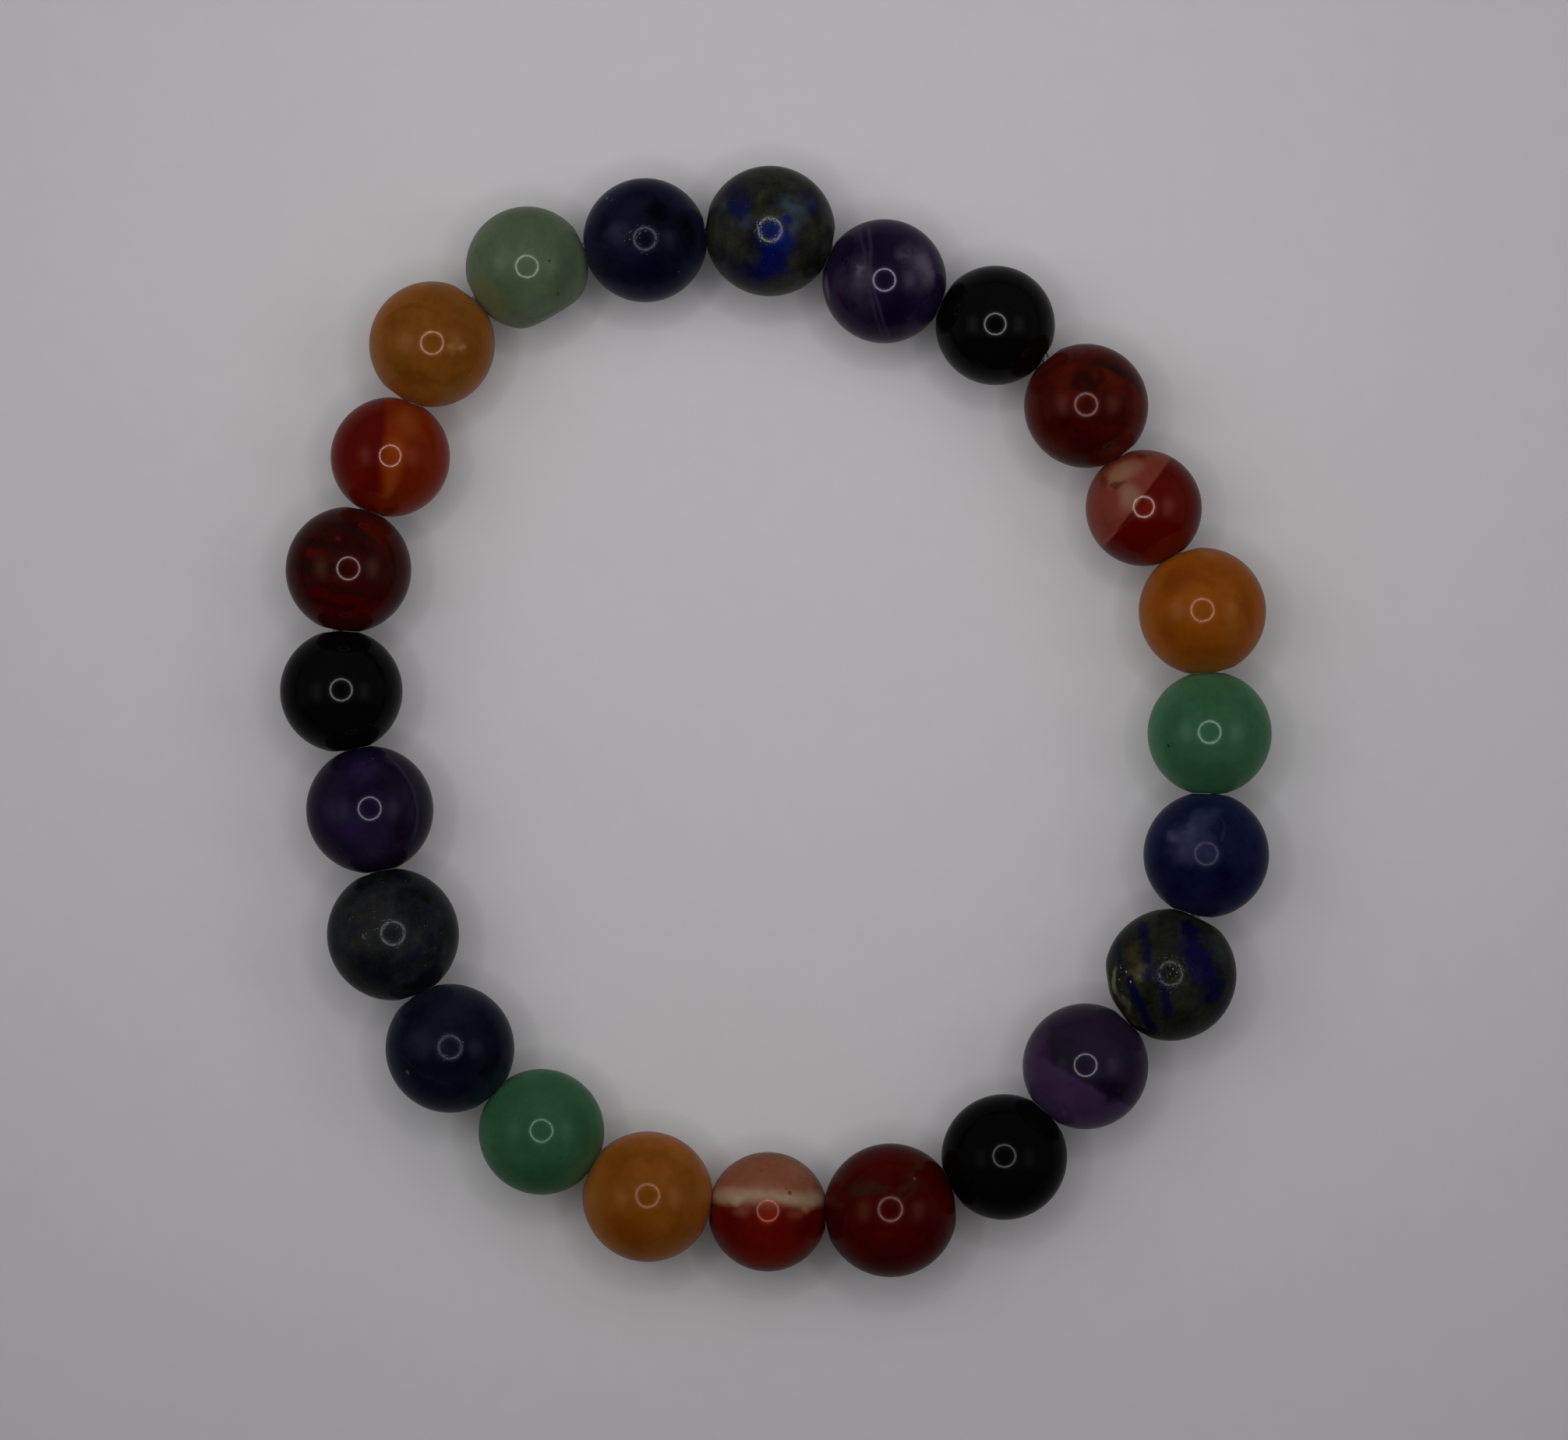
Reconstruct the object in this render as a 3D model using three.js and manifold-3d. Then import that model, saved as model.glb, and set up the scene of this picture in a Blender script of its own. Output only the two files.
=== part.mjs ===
// A stretch bracelet of 24 round stone beads: three repeats of eight stones, strung close together
// on one elastic thread whose ends are tied in a knot. It lies flat as a closed loop, and every
// bead rests on the surface. Millimetres, +Z up, the origin at the middle of the loop's foot.
import * as THREE from "three";
import { mergeVertices } from "three/addons/utils/BufferGeometryUtils.js";
import Module from "manifold-3d";

// The thread and what it runs through
const BORE_DIAMETER = 1.2; // the hole drilled through each bead
const BORE_SIDES = 8;
const THREAD_DIAMETER = 0.7;
const THREAD_BOW = 0.45; // how far outside the line of bead centres the thread crosses each joint
const THREAD_SIDES = 8;
const THREAD_STEPS = 78;

// How the beads sit against each other
const END_GRIND = 0.1; // the worn or ground depth at each end of a bead's hole
const JOINT_GAP = 0.1; // clearance between the ground ends of two neighbours
const FIRST_HEADING = 13; // degrees from +X, from the first bead to the second

// The knot between the two beads on either side of it, which it holds a little further apart
const KNOT_JOINT = 5; // it lies after the fifth bead
const KNOT_SPREAD = 0.15;
const KNOT_DIAMETER = 0.95;
const KNOT_LENGTH = 1.3;
const KNOT_CLEARANCE = 0.1;
const KNOT_SIDES = 10;
const KNOT_RINGS = 6;

// A bead's facets touch the round surface, and the lowest and the highest are level
const BEAD_SIDES = 16;
const BEAD_RINGS = 9;

// The eight stones, in the order in which they repeat
const STONES = [
  { name: "green_aventurine", colour: 0x4f8f68, roughness: 0.22 },
  { name: "sodalite", colour: 0x1b2350, roughness: 0.25 },
  { name: "lapis_lazuli", colour: 0x33405a, roughness: 0.35 },
  { name: "amethyst", colour: 0x3c2a63, roughness: 0.15 },
  { name: "black_onyx", colour: 0x0a0b0c, roughness: 0.12 },
  { name: "red_jasper", colour: 0x6b1a16, roughness: 0.2 },
  { name: "carnelian", colour: 0xa8331c, roughness: 0.18 },
  { name: "yellow_aventurine", colour: 0xb0702a, roughness: 0.22 },
];
const THREAD_FINISH = { color: 0x3a3a3c, roughness: 0.35, metalness: 0 };

// The beads, clockwise from the upper left as seen from above. `turn` is how far the line of
// centres bends to the right at the bead, in degrees. A flat is a spot that is ground or chipped
// away: it faces `towards`, in degrees from +X, and lies `depth` below the round surface.
const BEADS = [
  // First repeat of the stones
  { diameter: 7.8, turn: 26, flats: [{ towards: 300, depth: 0.45 }] },
  { diameter: 7.9, turn: 9 },
  { diameter: 8.3, turn: 28 },
  { diameter: 7.9, turn: -2 },
  { diameter: 7.6, turn: 20 },
  { diameter: 7.9, turn: 19 },
  { diameter: 7.4, turn: 0 },
  { diameter: 8.1, turn: 26 },
  // Second repeat
  { diameter: 7.9, turn: 5 },
  { diameter: 8.0, turn: 15 },
  {
    diameter: 8.4,
    turn: 26,
    flats: [
      { towards: 65, depth: 0.2 },
      { towards: 190, depth: 0.2 },
      { towards: 216, depth: 0.25 },
    ],
  },
  { diameter: 8.0, turn: -1 },
  { diameter: 8.0, turn: 23 },
  { diameter: 8.5, turn: 24, flats: [{ towards: 5, depth: 0.12 }] },
  { diameter: 7.6, turn: 8 },
  { diameter: 8.3, turn: 24 },
  // Third repeat
  { diameter: 8.0, turn: 11 },
  { diameter: 8.2, turn: 21 },
  { diameter: 8.4, turn: 16 },
  { diameter: 8.1, turn: -3 },
  { diameter: 7.8, turn: 17 },
  { diameter: 8.0, turn: 17 },
  { diameter: 7.6, turn: 0 },
  { diameter: 8.0, turn: 31, flats: [{ towards: 55, depth: 0.12 }] },
];

const MERGE_DISTANCE = 1e-4; // corners closer than this are one
const UP = new THREE.Vector3(0, 0, 1);
const ALONG_Y = new THREE.Vector3(0, 1, 0);

const manifold = await Module();
manifold.setup();

/** A closed geometry as a solid that can be joined and cut. */
function toSolid(geometry) {
  const bare = geometry.clone();
  bare.deleteAttribute("normal");
  bare.deleteAttribute("uv");
  const merged = mergeVertices(bare, MERGE_DISTANCE);
  return new manifold.Manifold(
    new manifold.Mesh({
      numProp: 3,
      vertProperties: merged.getAttribute("position").array,
      triVerts: new Uint32Array(merged.index.array),
    }),
  );
}

/** The surface of a solid as a geometry with flat facets. */
function toGeometry(solid) {
  const mesh = solid.getMesh();
  const indexed = new THREE.BufferGeometry();
  indexed.setAttribute("position", new THREE.BufferAttribute(mesh.vertProperties, 3));
  indexed.setIndex(new THREE.BufferAttribute(mesh.triVerts, 1));
  const geometry = indexed.toNonIndexed();
  geometry.computeVertexNormals();
  return geometry;
}

/** The unit vector in the XY plane that lies `degrees` from +X. */
function facing(degrees) {
  const angle = THREE.MathUtils.degToRad(degrees);
  return new THREE.Vector3(Math.cos(angle), Math.sin(angle), 0);
}

/**
 * Where the beads' centres lie. Each bead rests on z = 0. The string is laid out link by link,
 * and what it misses its own start by is shared out evenly, as in a land survey.
 */
function layOutCentres() {
  const centres = [];
  const at = new THREE.Vector3();
  let heading = FIRST_HEADING;
  BEADS.forEach((bead, i) => {
    const next = BEADS[(i + 1) % BEADS.length];
    if (i > 0) heading -= bead.turn;
    centres.push(at.clone().setZ(bead.diameter / 2));
    const spread = i + 1 === KNOT_JOINT ? KNOT_SPREAD : 0;
    const link = (bead.diameter + next.diameter) / 2 - 2 * END_GRIND + spread;
    at.addScaledVector(facing(heading), link);
  });
  return centres.map((centre, i) => centre.addScaledVector(at, -i / BEADS.length));
}

/**
 * The joints between neighbours: the plane in which two beads face each other, as its `normal`
 * along the line of centres and its distance `before` and `after` it from those centres, and the
 * point where the `thread` crosses it. Joint i follows bead i.
 */
function findJoints(centres) {
  return centres.map((centre, i) => {
    const next = centres[(i + 1) % centres.length];
    const radius = centre.z;
    const nextRadius = next.z;
    const normal = next.clone().sub(centre);
    const link = normal.length();
    normal.normalize();
    const before = (link * link + radius * radius - nextRadius * nextRadius) / (2 * link);
    const outward = new THREE.Vector3(-normal.y, normal.x, 0).normalize();
    const thread = centre.clone().addScaledVector(normal, before);
    thread.addScaledVector(outward, THREAD_BOW);
    return { normal, before, after: link - before, thread };
  });
}

/** A whole faceted ball round the origin. */
function ballGeometry(radius) {
  const step = Math.PI / BEAD_RINGS;
  const corner = radius / Math.cos(step / 2);
  const profile = [new THREE.Vector2(0, -radius)];
  for (let ring = 0; ring < BEAD_RINGS; ring++) {
    const polar = (ring + 0.5) * step;
    profile.push(new THREE.Vector2(corner * Math.sin(polar), -corner * Math.cos(polar)));
  }
  profile.push(new THREE.Vector2(0, radius));
  return new THREE.LatheGeometry(profile, BEAD_SIDES).rotateX(Math.PI / 2);
}

/** Grinds away what lies further than `distance` from the origin in `direction`. */
function grind(solid, direction, distance) {
  const reach = 10;
  const waste = new THREE.BoxGeometry(2 * reach, 2 * reach, 2 * reach);
  waste.translate(0, 0, distance + reach);
  waste.applyQuaternion(new THREE.Quaternion().setFromUnitVectors(UP, direction));
  return solid.subtract(toSolid(waste));
}

/** Drills a hole through the solid, through two points and past both of them. */
function drill(solid, from, to) {
  const along = to.clone().sub(from);
  const radius = BORE_DIAMETER / 2;
  const bit = new THREE.CylinderGeometry(radius, radius, 2 * along.length(), BORE_SIDES);
  bit.applyQuaternion(
    new THREE.Quaternion().setFromUnitVectors(ALONG_Y, along.normalize()),
  );
  const middle = from.clone().add(to).divideScalar(2);
  bit.translate(middle.x, middle.y, middle.z);
  return solid.subtract(toSolid(bit));
}

/** One bead, ground where it meets its neighbours and drilled for the thread. */
function makeBead(index, centre, jointBefore, jointAfter) {
  const { diameter, flats = [] } = BEADS[index];
  const stone = STONES[index % STONES.length];
  let solid = toSolid(ballGeometry(diameter / 2));
  solid = grind(solid, jointAfter.normal, jointAfter.before - JOINT_GAP / 2);
  solid = grind(
    solid,
    jointBefore.normal.clone().negate(),
    jointBefore.after - JOINT_GAP / 2,
  );
  for (const flat of flats) {
    solid = grind(solid, facing(flat.towards), diameter / 2 - flat.depth);
  }
  solid = drill(
    solid,
    jointBefore.thread.clone().sub(centre),
    jointAfter.thread.clone().sub(centre),
  );
  const material = new THREE.MeshStandardMaterial({
    color: stone.colour,
    roughness: stone.roughness,
    metalness: 0,
  });
  const mesh = new THREE.Mesh(toGeometry(solid), material);
  mesh.name = `bead_${String(index + 1).padStart(2, "0")}_${stone.name}`;
  mesh.position.copy(centre);
  return mesh;
}

/** The elastic thread, straight through each bead, from one side of the knot to the other. */
function makeThread(joints) {
  const afterKnot = [...joints.slice(KNOT_JOINT), ...joints.slice(0, KNOT_JOINT - 1)];
  const knot = joints[KNOT_JOINT - 1].thread;
  const corners = afterKnot.map((joint) => joint.thread);
  const clear = KNOT_LENGTH / 2 + KNOT_CLEARANCE;
  const stopShort = (corner) =>
    knot.clone().addScaledVector(corner.clone().sub(knot).normalize(), clear);
  const route = [stopShort(corners[0]), ...corners, stopShort(corners.at(-1))];
  const section = new THREE.Shape().absarc(0, 0, THREAD_DIAMETER / 2, 0, 2 * Math.PI);
  const geometry = new THREE.ExtrudeGeometry(section, {
    curveSegments: THREAD_SIDES / 2,
    steps: THREAD_STEPS,
    extrudePath: new THREE.CatmullRomCurve3(route, false, "catmullrom", 0),
  });
  const mesh = new THREE.Mesh(geometry, new THREE.MeshStandardMaterial(THREAD_FINISH));
  mesh.name = "elastic_thread";
  return mesh;
}

/** The knot that ties the thread's ends, pulled into the mouths of the holes on either side. */
function makeKnot(joint) {
  const profile = [];
  for (let ring = 0; ring <= KNOT_RINGS; ring++) {
    const angle = (Math.PI * ring) / KNOT_RINGS;
    profile.push(
      new THREE.Vector2(
        (KNOT_DIAMETER / 2) * Math.sin(angle),
        (-KNOT_LENGTH / 2) * Math.cos(angle),
      ),
    );
  }
  const geometry = new THREE.LatheGeometry(profile, KNOT_SIDES);
  const mesh = new THREE.Mesh(geometry, new THREE.MeshStandardMaterial(THREAD_FINISH));
  mesh.name = "thread_knot";
  mesh.position.copy(joint.thread);
  mesh.quaternion.setFromUnitVectors(ALONG_Y, joint.normal);
  return mesh;
}

/** The whole bracelet, moved so that the origin is at the middle of its foot. */
function makeBracelet() {
  const centres = layOutCentres();
  const joints = findJoints(centres);
  const string = new THREE.Group();
  centres.forEach((centre, i) => {
    string.add(makeBead(i, centre, joints.at(i - 1), joints[i]));
  });
  string.add(makeThread(joints));
  string.add(makeKnot(joints[KNOT_JOINT - 1]));

  const box = new THREE.Box3().setFromObject(string);
  const middle = box.getCenter(new THREE.Vector3());
  string.position.set(-middle.x, -middle.y, -box.min.z);
  const bracelet = new THREE.Group();
  bracelet.add(string);
  return bracelet;
}

const bracelet = makeBracelet();

export default bracelet;
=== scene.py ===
"""A stretch bracelet of twenty-four round stone beads, lying flat as a closed loop on a table.

Eight stones repeat three times round the loop. Each bead is ground flat where it meets its
neighbours, drilled, and strung on a clear elastic thread whose ends are knotted after the fifth
bead. Every bead has its own finish, because no two cuts of a stone show the same veins and clouds.
"""

import logging
import math
from dataclasses import dataclass, field
from enum import Enum

import bpy
from mathutils import Matrix, Vector


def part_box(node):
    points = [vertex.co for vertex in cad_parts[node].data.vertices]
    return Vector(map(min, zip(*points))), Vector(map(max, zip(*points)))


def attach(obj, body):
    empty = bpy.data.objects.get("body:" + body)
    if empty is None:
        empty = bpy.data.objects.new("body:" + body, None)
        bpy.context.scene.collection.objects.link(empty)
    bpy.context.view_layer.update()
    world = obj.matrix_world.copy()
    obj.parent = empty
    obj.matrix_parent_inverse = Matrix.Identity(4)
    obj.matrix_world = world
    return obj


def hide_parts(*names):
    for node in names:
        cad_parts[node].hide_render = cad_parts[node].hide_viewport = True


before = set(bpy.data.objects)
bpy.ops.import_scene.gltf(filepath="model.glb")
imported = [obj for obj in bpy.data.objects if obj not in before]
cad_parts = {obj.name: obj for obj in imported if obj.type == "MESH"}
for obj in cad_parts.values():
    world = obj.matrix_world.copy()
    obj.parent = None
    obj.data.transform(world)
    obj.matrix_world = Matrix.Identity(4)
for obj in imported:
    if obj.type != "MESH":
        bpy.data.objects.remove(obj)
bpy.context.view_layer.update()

MM = 0.001
BODY = "root"
UP = Vector((0, 0, 1))
WHITE = (1.0, 1.0, 1.0, 1.0)
BLACK = (0.0, 0.0, 0.0, 1.0)
# Strands are shaded smoothly over edges less sharp than this
STRAND_SMOOTH = math.radians(50)

# Points of a strand nearer than this become one, which closes its ends
STRAND_MERGED = 0.0001 * MM

Colour = tuple[int, int, int]
Spot = tuple[float, ...]

log = logging.getLogger("bracelet")


# ---------------------------------------------------------------------------------------------
# Small helpers
# ---------------------------------------------------------------------------------------------


def linear(colour: Colour) -> tuple[float, float, float, float]:
    """Turns a display colour into the linear one that a shader socket takes.

    Args:
        colour: Red, green and blue, each from 0 to 255.

    Returns:
        Linear red, green and blue, and an alpha of 1.
    """

    def channel(value: int) -> float:
        """One channel of the colour, made linear."""
        share = value / 255
        return share / 12.92 if share <= 0.04045 else ((share + 0.055) / 1.055) ** 2.4

    return (channel(colour[0]), channel(colour[1]), channel(colour[2]), 1.0)


def heading_vector(degrees: float) -> Vector:
    """The level unit vector that lies so many degrees from +X."""
    return Vector((math.cos(math.radians(degrees)), math.sin(math.radians(degrees)), 0))


def on_bead(spot: Spot) -> Vector:
    """Finds a place on a ball of radius 1.

    Args:
        spot: X and Y for a place on the upper half, or X, Y and Z for one anywhere.

    Returns:
        The place, at a distance of 1 from the middle.
    """
    if len(spot) == 3:
        return Vector(spot).normalized()
    x, y = spot
    return Vector((x, y, math.sqrt(max(0.0, 1 - x * x - y * y)))).normalized()


def deselect_all() -> None:
    """Clears the selection, so that an operator acts on new pieces alone."""
    bpy.ops.object.select_all(action="DESELECT")


def select_only(piece: bpy.types.Object) -> None:
    """Selects one object and makes it the active one.

    Args:
        piece: The object.
    """
    deselect_all()
    piece.select_set(True)
    bpy.context.view_layer.objects.active = piece


def settle(piece: bpy.types.Object) -> None:
    """Moves an object's place, turn and scale into its mesh."""
    select_only(piece)
    bpy.ops.object.transform_apply(location=True, rotation=True, scale=True)


def wind(
    name: str, runs: list[list[Vector]], radius: float, resolution: int
) -> bpy.types.Object:
    """Makes one piece of several round strands.

    Args:
        name: The piece's name.
        runs: The places along each strand's middle line.
        radius: The strands' radius.
        resolution: How finely the strands are rounded.

    Returns:
        The piece, with closed ends and smooth sides.
    """
    curve = bpy.data.curves.new(name, "CURVE")
    curve.dimensions = "3D"
    curve.bevel_depth = radius
    curve.bevel_resolution = resolution
    curve.use_fill_caps = True
    for run in runs:
        spline = curve.splines.new("POLY")
        spline.points.add(len(run) - 1)
        for point, place in zip(spline.points, run):
            point.co = (*place, 1.0)
    piece = bpy.data.objects.new(name, curve)
    bpy.context.scene.collection.objects.link(piece)
    select_only(piece)
    bpy.ops.object.convert(target="MESH")
    piece = bpy.context.object
    piece.name = piece.data.name = name
    bpy.ops.object.mode_set(mode="EDIT")
    bpy.ops.mesh.select_all(action="SELECT")
    bpy.ops.mesh.remove_doubles(threshold=STRAND_MERGED)
    bpy.ops.mesh.normals_make_consistent(inside=False)
    bpy.ops.object.mode_set(mode="OBJECT")
    bpy.ops.object.shade_smooth_by_angle(angle=STRAND_SMOOTH)
    return piece


# ---------------------------------------------------------------------------------------------
# Node trees
# ---------------------------------------------------------------------------------------------


class NodeBoard:
    """Places and joins the nodes of one tree."""

    def __init__(self, tree: bpy.types.NodeTree) -> None:
        """Starts on an empty tree."""
        self.tree = tree
        tree.nodes.clear()

    def add(self, kind: str, **settings: object) -> bpy.types.Node:
        """Adds a node and sets its options.

        Args:
            kind: The node's type name.
            settings: Options of the node, by name.

        Returns:
            The new node.
        """
        node = self.tree.nodes.new(kind)
        for name, value in settings.items():
            setattr(node, name, value)
        return node

    def feed(self, node: bpy.types.Node, **inputs: object) -> bpy.types.Node:
        """Links or sets a node's inputs.

        Args:
            node: The node.
            inputs: Sockets to link or values to set. An underscore stands for a space, and a
                name such as `in_0` stands for the socket of that number.

        Returns:
            The same node.
        """
        for name, value in inputs.items():
            if name.startswith("in_"):
                socket = node.inputs[int(name[3:])]
            else:
                socket = node.inputs[name.replace("_", " ")]
            if isinstance(value, bpy.types.NodeSocket):
                self.tree.links.new(value, socket)
            else:
                socket.default_value = value
        return node

    def effect(self, group: bpy.types.NodeTree, **inputs: object) -> bpy.types.NodeSocket:
        """Adds a shared effect with its own values, and returns what it puts out."""
        node = self.add("ShaderNodeGroup", node_tree=group)
        return self.feed(node, **inputs).outputs[0]

    def math(self, operation: str, *inputs: object) -> bpy.types.NodeSocket:
        """Adds a Math node and returns what it puts out."""
        node = self.add("ShaderNodeMath", operation=operation)
        return self.feed(node, **{f"in_{i}": v for i, v in enumerate(inputs)}).outputs[0]

    def vector(self, operation: str, *inputs: object) -> bpy.types.Node:
        """Adds a Vector Math node."""
        node = self.add("ShaderNodeVectorMath", operation=operation)
        return self.feed(node, **{f"in_{i}": v for i, v in enumerate(inputs)})

    def fade(self, value: object, full: object, none: object) -> bpy.types.NodeSocket:
        """Fades smoothly from 1 to 0.

        Args:
            value: What the fade reads.
            full: Where the result is still 1.
            none: Where the result has reached 0.

        Returns:
            The result's socket.
        """
        node = self.add("ShaderNodeMapRange", interpolation_type="SMOOTHSTEP")
        self.feed(node, in_0=value, in_1=full, in_2=none, in_3=1.0, in_4=0.0)
        return node.outputs[0]

    def mix(self, factor: object, first: object, second: object) -> bpy.types.NodeSocket:
        """Mixes two colours and returns the result's socket."""
        node = self.add("ShaderNodeMix", data_type="RGBA", clamp_factor=True)
        return self.feed(node, in_0=factor, in_6=first, in_7=second).outputs[2]


class Effects:
    """The shader node groups that the finishes share, each built once."""

    SOCKETS = {
        "value": "NodeSocketFloat",
        "vector": "NodeSocketVector",
        "colour": "NodeSocketColor",
    }
    # The share of a vein's half width, and of a grain's reach, that is solid before it fades
    VEIN_CORE = 0.3
    SPECK_CORE = 0.4
    # How many times finer the grain is than the clouds that it lies over
    GRAIN_FINENESS = 9.0
    # The noise scales of the polish, and how far a pit reaches from its middle
    RIPPLE_SCALE = 4.5
    PIT_SCALE = 17.0
    PIT_REACH = 0.42
    DRIFT_SCALE = 3.0
    # How the flank of a ball of radius 1 is painted paler, as painted light that stands in for
    # light coming through the stone: the heights between which the stone's own colour fades in and
    # how much of it is added, then those of the thin rim painted as if light came straight
    # through, and how much painted light that is
    GLOW_FULL = 0.28
    GLOW_NONE = 0.8
    GLOW_SHARE = (0.6, 0.6, 0.6)
    RIM_TOP = 0.45
    RIM_FOOT = -0.6
    PAINTED_RIM_LIGHT = 0.1

    def __init__(self) -> None:
        """Builds every group."""
        self.ragged = self._ragged()
        self.patch = self._patch()
        self.vein = self._vein()
        self.layer = self._layer()
        self.clouds = self._clouds()
        self.specks = self._specks()
        self.mottle = self._mottle()
        self.flank = self._painted_flank_light()
        self.polish = self._polish()
        self.gloss = self._gloss()

    def _start(
        self, name: str, inputs: dict[str, str], outputs: dict[str, str]
    ) -> tuple[bpy.types.NodeTree, NodeBoard, bpy.types.Node, bpy.types.Node]:
        """Starts a group.

        Args:
            name: The group's name.
            inputs: The kind of each input, by its name.
            outputs: The kind of each output, by its name.

        Returns:
            The group, its board, and its input and output nodes.
        """
        group = bpy.data.node_groups.new(name, "ShaderNodeTree")
        board = NodeBoard(group)
        for sockets, way in ((inputs, "INPUT"), (outputs, "OUTPUT")):
            for label, kind in sockets.items():
                group.interface.new_socket(label, in_out=way, socket_type=self.SOCKETS[kind])
        return group, board, board.add("NodeGroupInput"), board.add("NodeGroupOutput")

    @staticmethod
    def _scaled(board: NodeBoard, vector: object, share: object) -> bpy.types.NodeSocket:
        """Adds a Vector Math node that scales a vector, and returns what it puts out."""
        node = board.add("ShaderNodeVectorMath", operation="SCALE")
        return board.feed(node, in_0=vector, Scale=share).outputs[0]

    def _ragged(self) -> bpy.types.NodeTree:
        """A place shifted by noise, which makes the edge of a mark ragged.

        Returns:
            The group.
        """
        group, board, into, out = self._start(
            "Ragged edge",
            {"Vector": "vector", "Scale": "value", "Amount": "value"},
            {"Vector": "vector"},
        )
        noise = board.add("ShaderNodeTexNoise")
        board.feed(noise, Vector=into.outputs[0], Scale=into.outputs[1], Detail=5.0)
        centred = board.vector("SUBTRACT", noise.outputs["Color"], (0.5, 0.5, 0.5))
        sized = self._scaled(board, centred.outputs[0], into.outputs[2])
        moved = board.vector("ADD", into.outputs[0], sized)
        board.feed(out, in_0=moved.outputs[0])
        return group

    def _patch(self) -> bpy.types.NodeTree:
        """A round patch of radius 1 about the origin, soft over part of its radius.

        Returns:
            The group.
        """
        group, board, into, out = self._start(
            "Patch", {"Vector": "vector", "Softness": "value"}, {"Mask": "value"}
        )
        reach = board.vector("LENGTH", into.outputs[0]).outputs["Value"]
        inner = board.math("SUBTRACT", 1.0, into.outputs[1])
        board.feed(out, in_0=board.fade(reach, inner, 1.0))
        return group

    def _vein(self) -> bpy.types.NodeTree:
        """A run of a vein over the surface between two places.

        Returns:
            The group.
        """
        group, board, into, out = self._start(
            "Vein",
            {"Vector": "vector", "Start": "vector", "End": "vector", "Width": "value"},
            {"Mask": "value"},
        )
        place, start, end, width = (into.outputs[i] for i in range(4))
        reach = board.vector("SUBTRACT", place, start).outputs[0]
        run = board.vector("SUBTRACT", end, start).outputs[0]
        along = board.math(
            "DIVIDE",
            board.vector("DOT_PRODUCT", reach, run).outputs["Value"],
            board.vector("DOT_PRODUCT", run, run).outputs["Value"],
        )
        held = board.add("ShaderNodeClamp")
        board.feed(held, in_0=along)
        shift = self._scaled(board, run, held.outputs[0])
        chord = board.vector("ADD", start, shift).outputs[0]
        nearest = board.vector("NORMALIZE", chord).outputs[0]
        distance = board.vector("DISTANCE", place, nearest).outputs["Value"]
        core = board.math("MULTIPLY", width, self.VEIN_CORE)
        board.feed(out, in_0=board.fade(distance, core, width))
        return group

    def _layer(self) -> bpy.types.NodeTree:
        """A flat layer right through the stone.

        Returns:
            The group.
        """
        group, board, into, out = self._start(
            "Layer",
            {
                "Vector": "vector",
                "Facing": "vector",
                "Offset": "value",
                "Half": "value",
                "Softness": "value",
            },
            {"Mask": "value"},
        )
        place, facing, offset, half, softness = (into.outputs[i] for i in range(5))
        height = board.vector("DOT_PRODUCT", place, facing).outputs["Value"]
        away = board.math("ABSOLUTE", board.math("SUBTRACT", height, offset))
        inner = board.math("SUBTRACT", half, softness)
        outer = board.math("ADD", half, softness)
        board.feed(out, in_0=board.fade(away, inner, outer))
        return group

    def _clouds(self) -> bpy.types.NodeTree:
        """Two colours in broad clouds with a fine grain over them.

        Returns:
            The group.
        """
        group, board, into, out = self._start(
            "Clouds",
            {
                "Vector": "vector",
                "Scale": "value",
                "Contrast": "value",
                "Grain": "value",
                "Dark": "colour",
                "Light": "colour",
            },
            {"Color": "colour"},
        )
        place, scale, contrast, grain, dark, light = (into.outputs[i] for i in range(6))
        broad = board.add("ShaderNodeTexNoise")
        board.feed(broad, Vector=place, Scale=scale, Detail=4.0, Roughness=0.55)
        fine = board.add("ShaderNodeTexNoise")
        finer = board.math("MULTIPLY", scale, self.GRAIN_FINENESS)
        board.feed(fine, Vector=place, Scale=finer, Detail=2.0)
        centred = board.math("SUBTRACT", broad.outputs[0], 0.5)
        spread = board.math("MULTIPLY_ADD", centred, contrast, 0.5)
        speckle = board.math("SUBTRACT", fine.outputs[0], 0.5)
        share = board.math("MULTIPLY_ADD", speckle, grain, spread)
        board.feed(out, in_0=board.mix(share, dark, light))
        return group

    def _specks(self) -> bpy.types.NodeTree:
        """Small scattered grains, of which only a share shows.

        Returns:
            The group.
        """
        group, board, into, out = self._start(
            "Specks",
            {"Vector": "vector", "Scale": "value", "Size": "value", "Share": "value"},
            {"Mask": "value"},
        )
        place, scale, size, share = (into.outputs[i] for i in range(4))
        cells = board.add("ShaderNodeTexVoronoi", feature="F1")
        board.feed(cells, Vector=place, Scale=scale)
        core = board.math("MULTIPLY", size, self.SPECK_CORE)
        grain = board.fade(cells.outputs["Distance"], core, size)
        pick = board.add("ShaderNodeSeparateColor")
        board.feed(pick, in_0=cells.outputs["Color"])
        chosen = board.math("LESS_THAN", pick.outputs[0], share)
        board.feed(out, in_0=board.math("MULTIPLY", grain, chosen))
        return group

    def _mottle(self) -> bpy.types.NodeTree:
        """A colour made lighter and darker in small uneven spots.

        Returns:
            The group.
        """
        group, board, into, out = self._start(
            "Mottle",
            {"Vector": "vector", "Scale": "value", "Amount": "value", "Color": "colour"},
            {"Color": "colour"},
        )
        place, scale, amount, colour = (into.outputs[i] for i in range(4))
        spots = board.add("ShaderNodeTexNoise")
        board.feed(spots, Vector=place, Scale=scale, Detail=5.0, Roughness=0.62)
        centred = board.math("SUBTRACT", spots.outputs[0], 0.5)
        strength = board.math("MULTIPLY_ADD", centred, amount, 1.0)
        board.feed(out, in_0=self._scaled(board, colour, strength))
        return group

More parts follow.
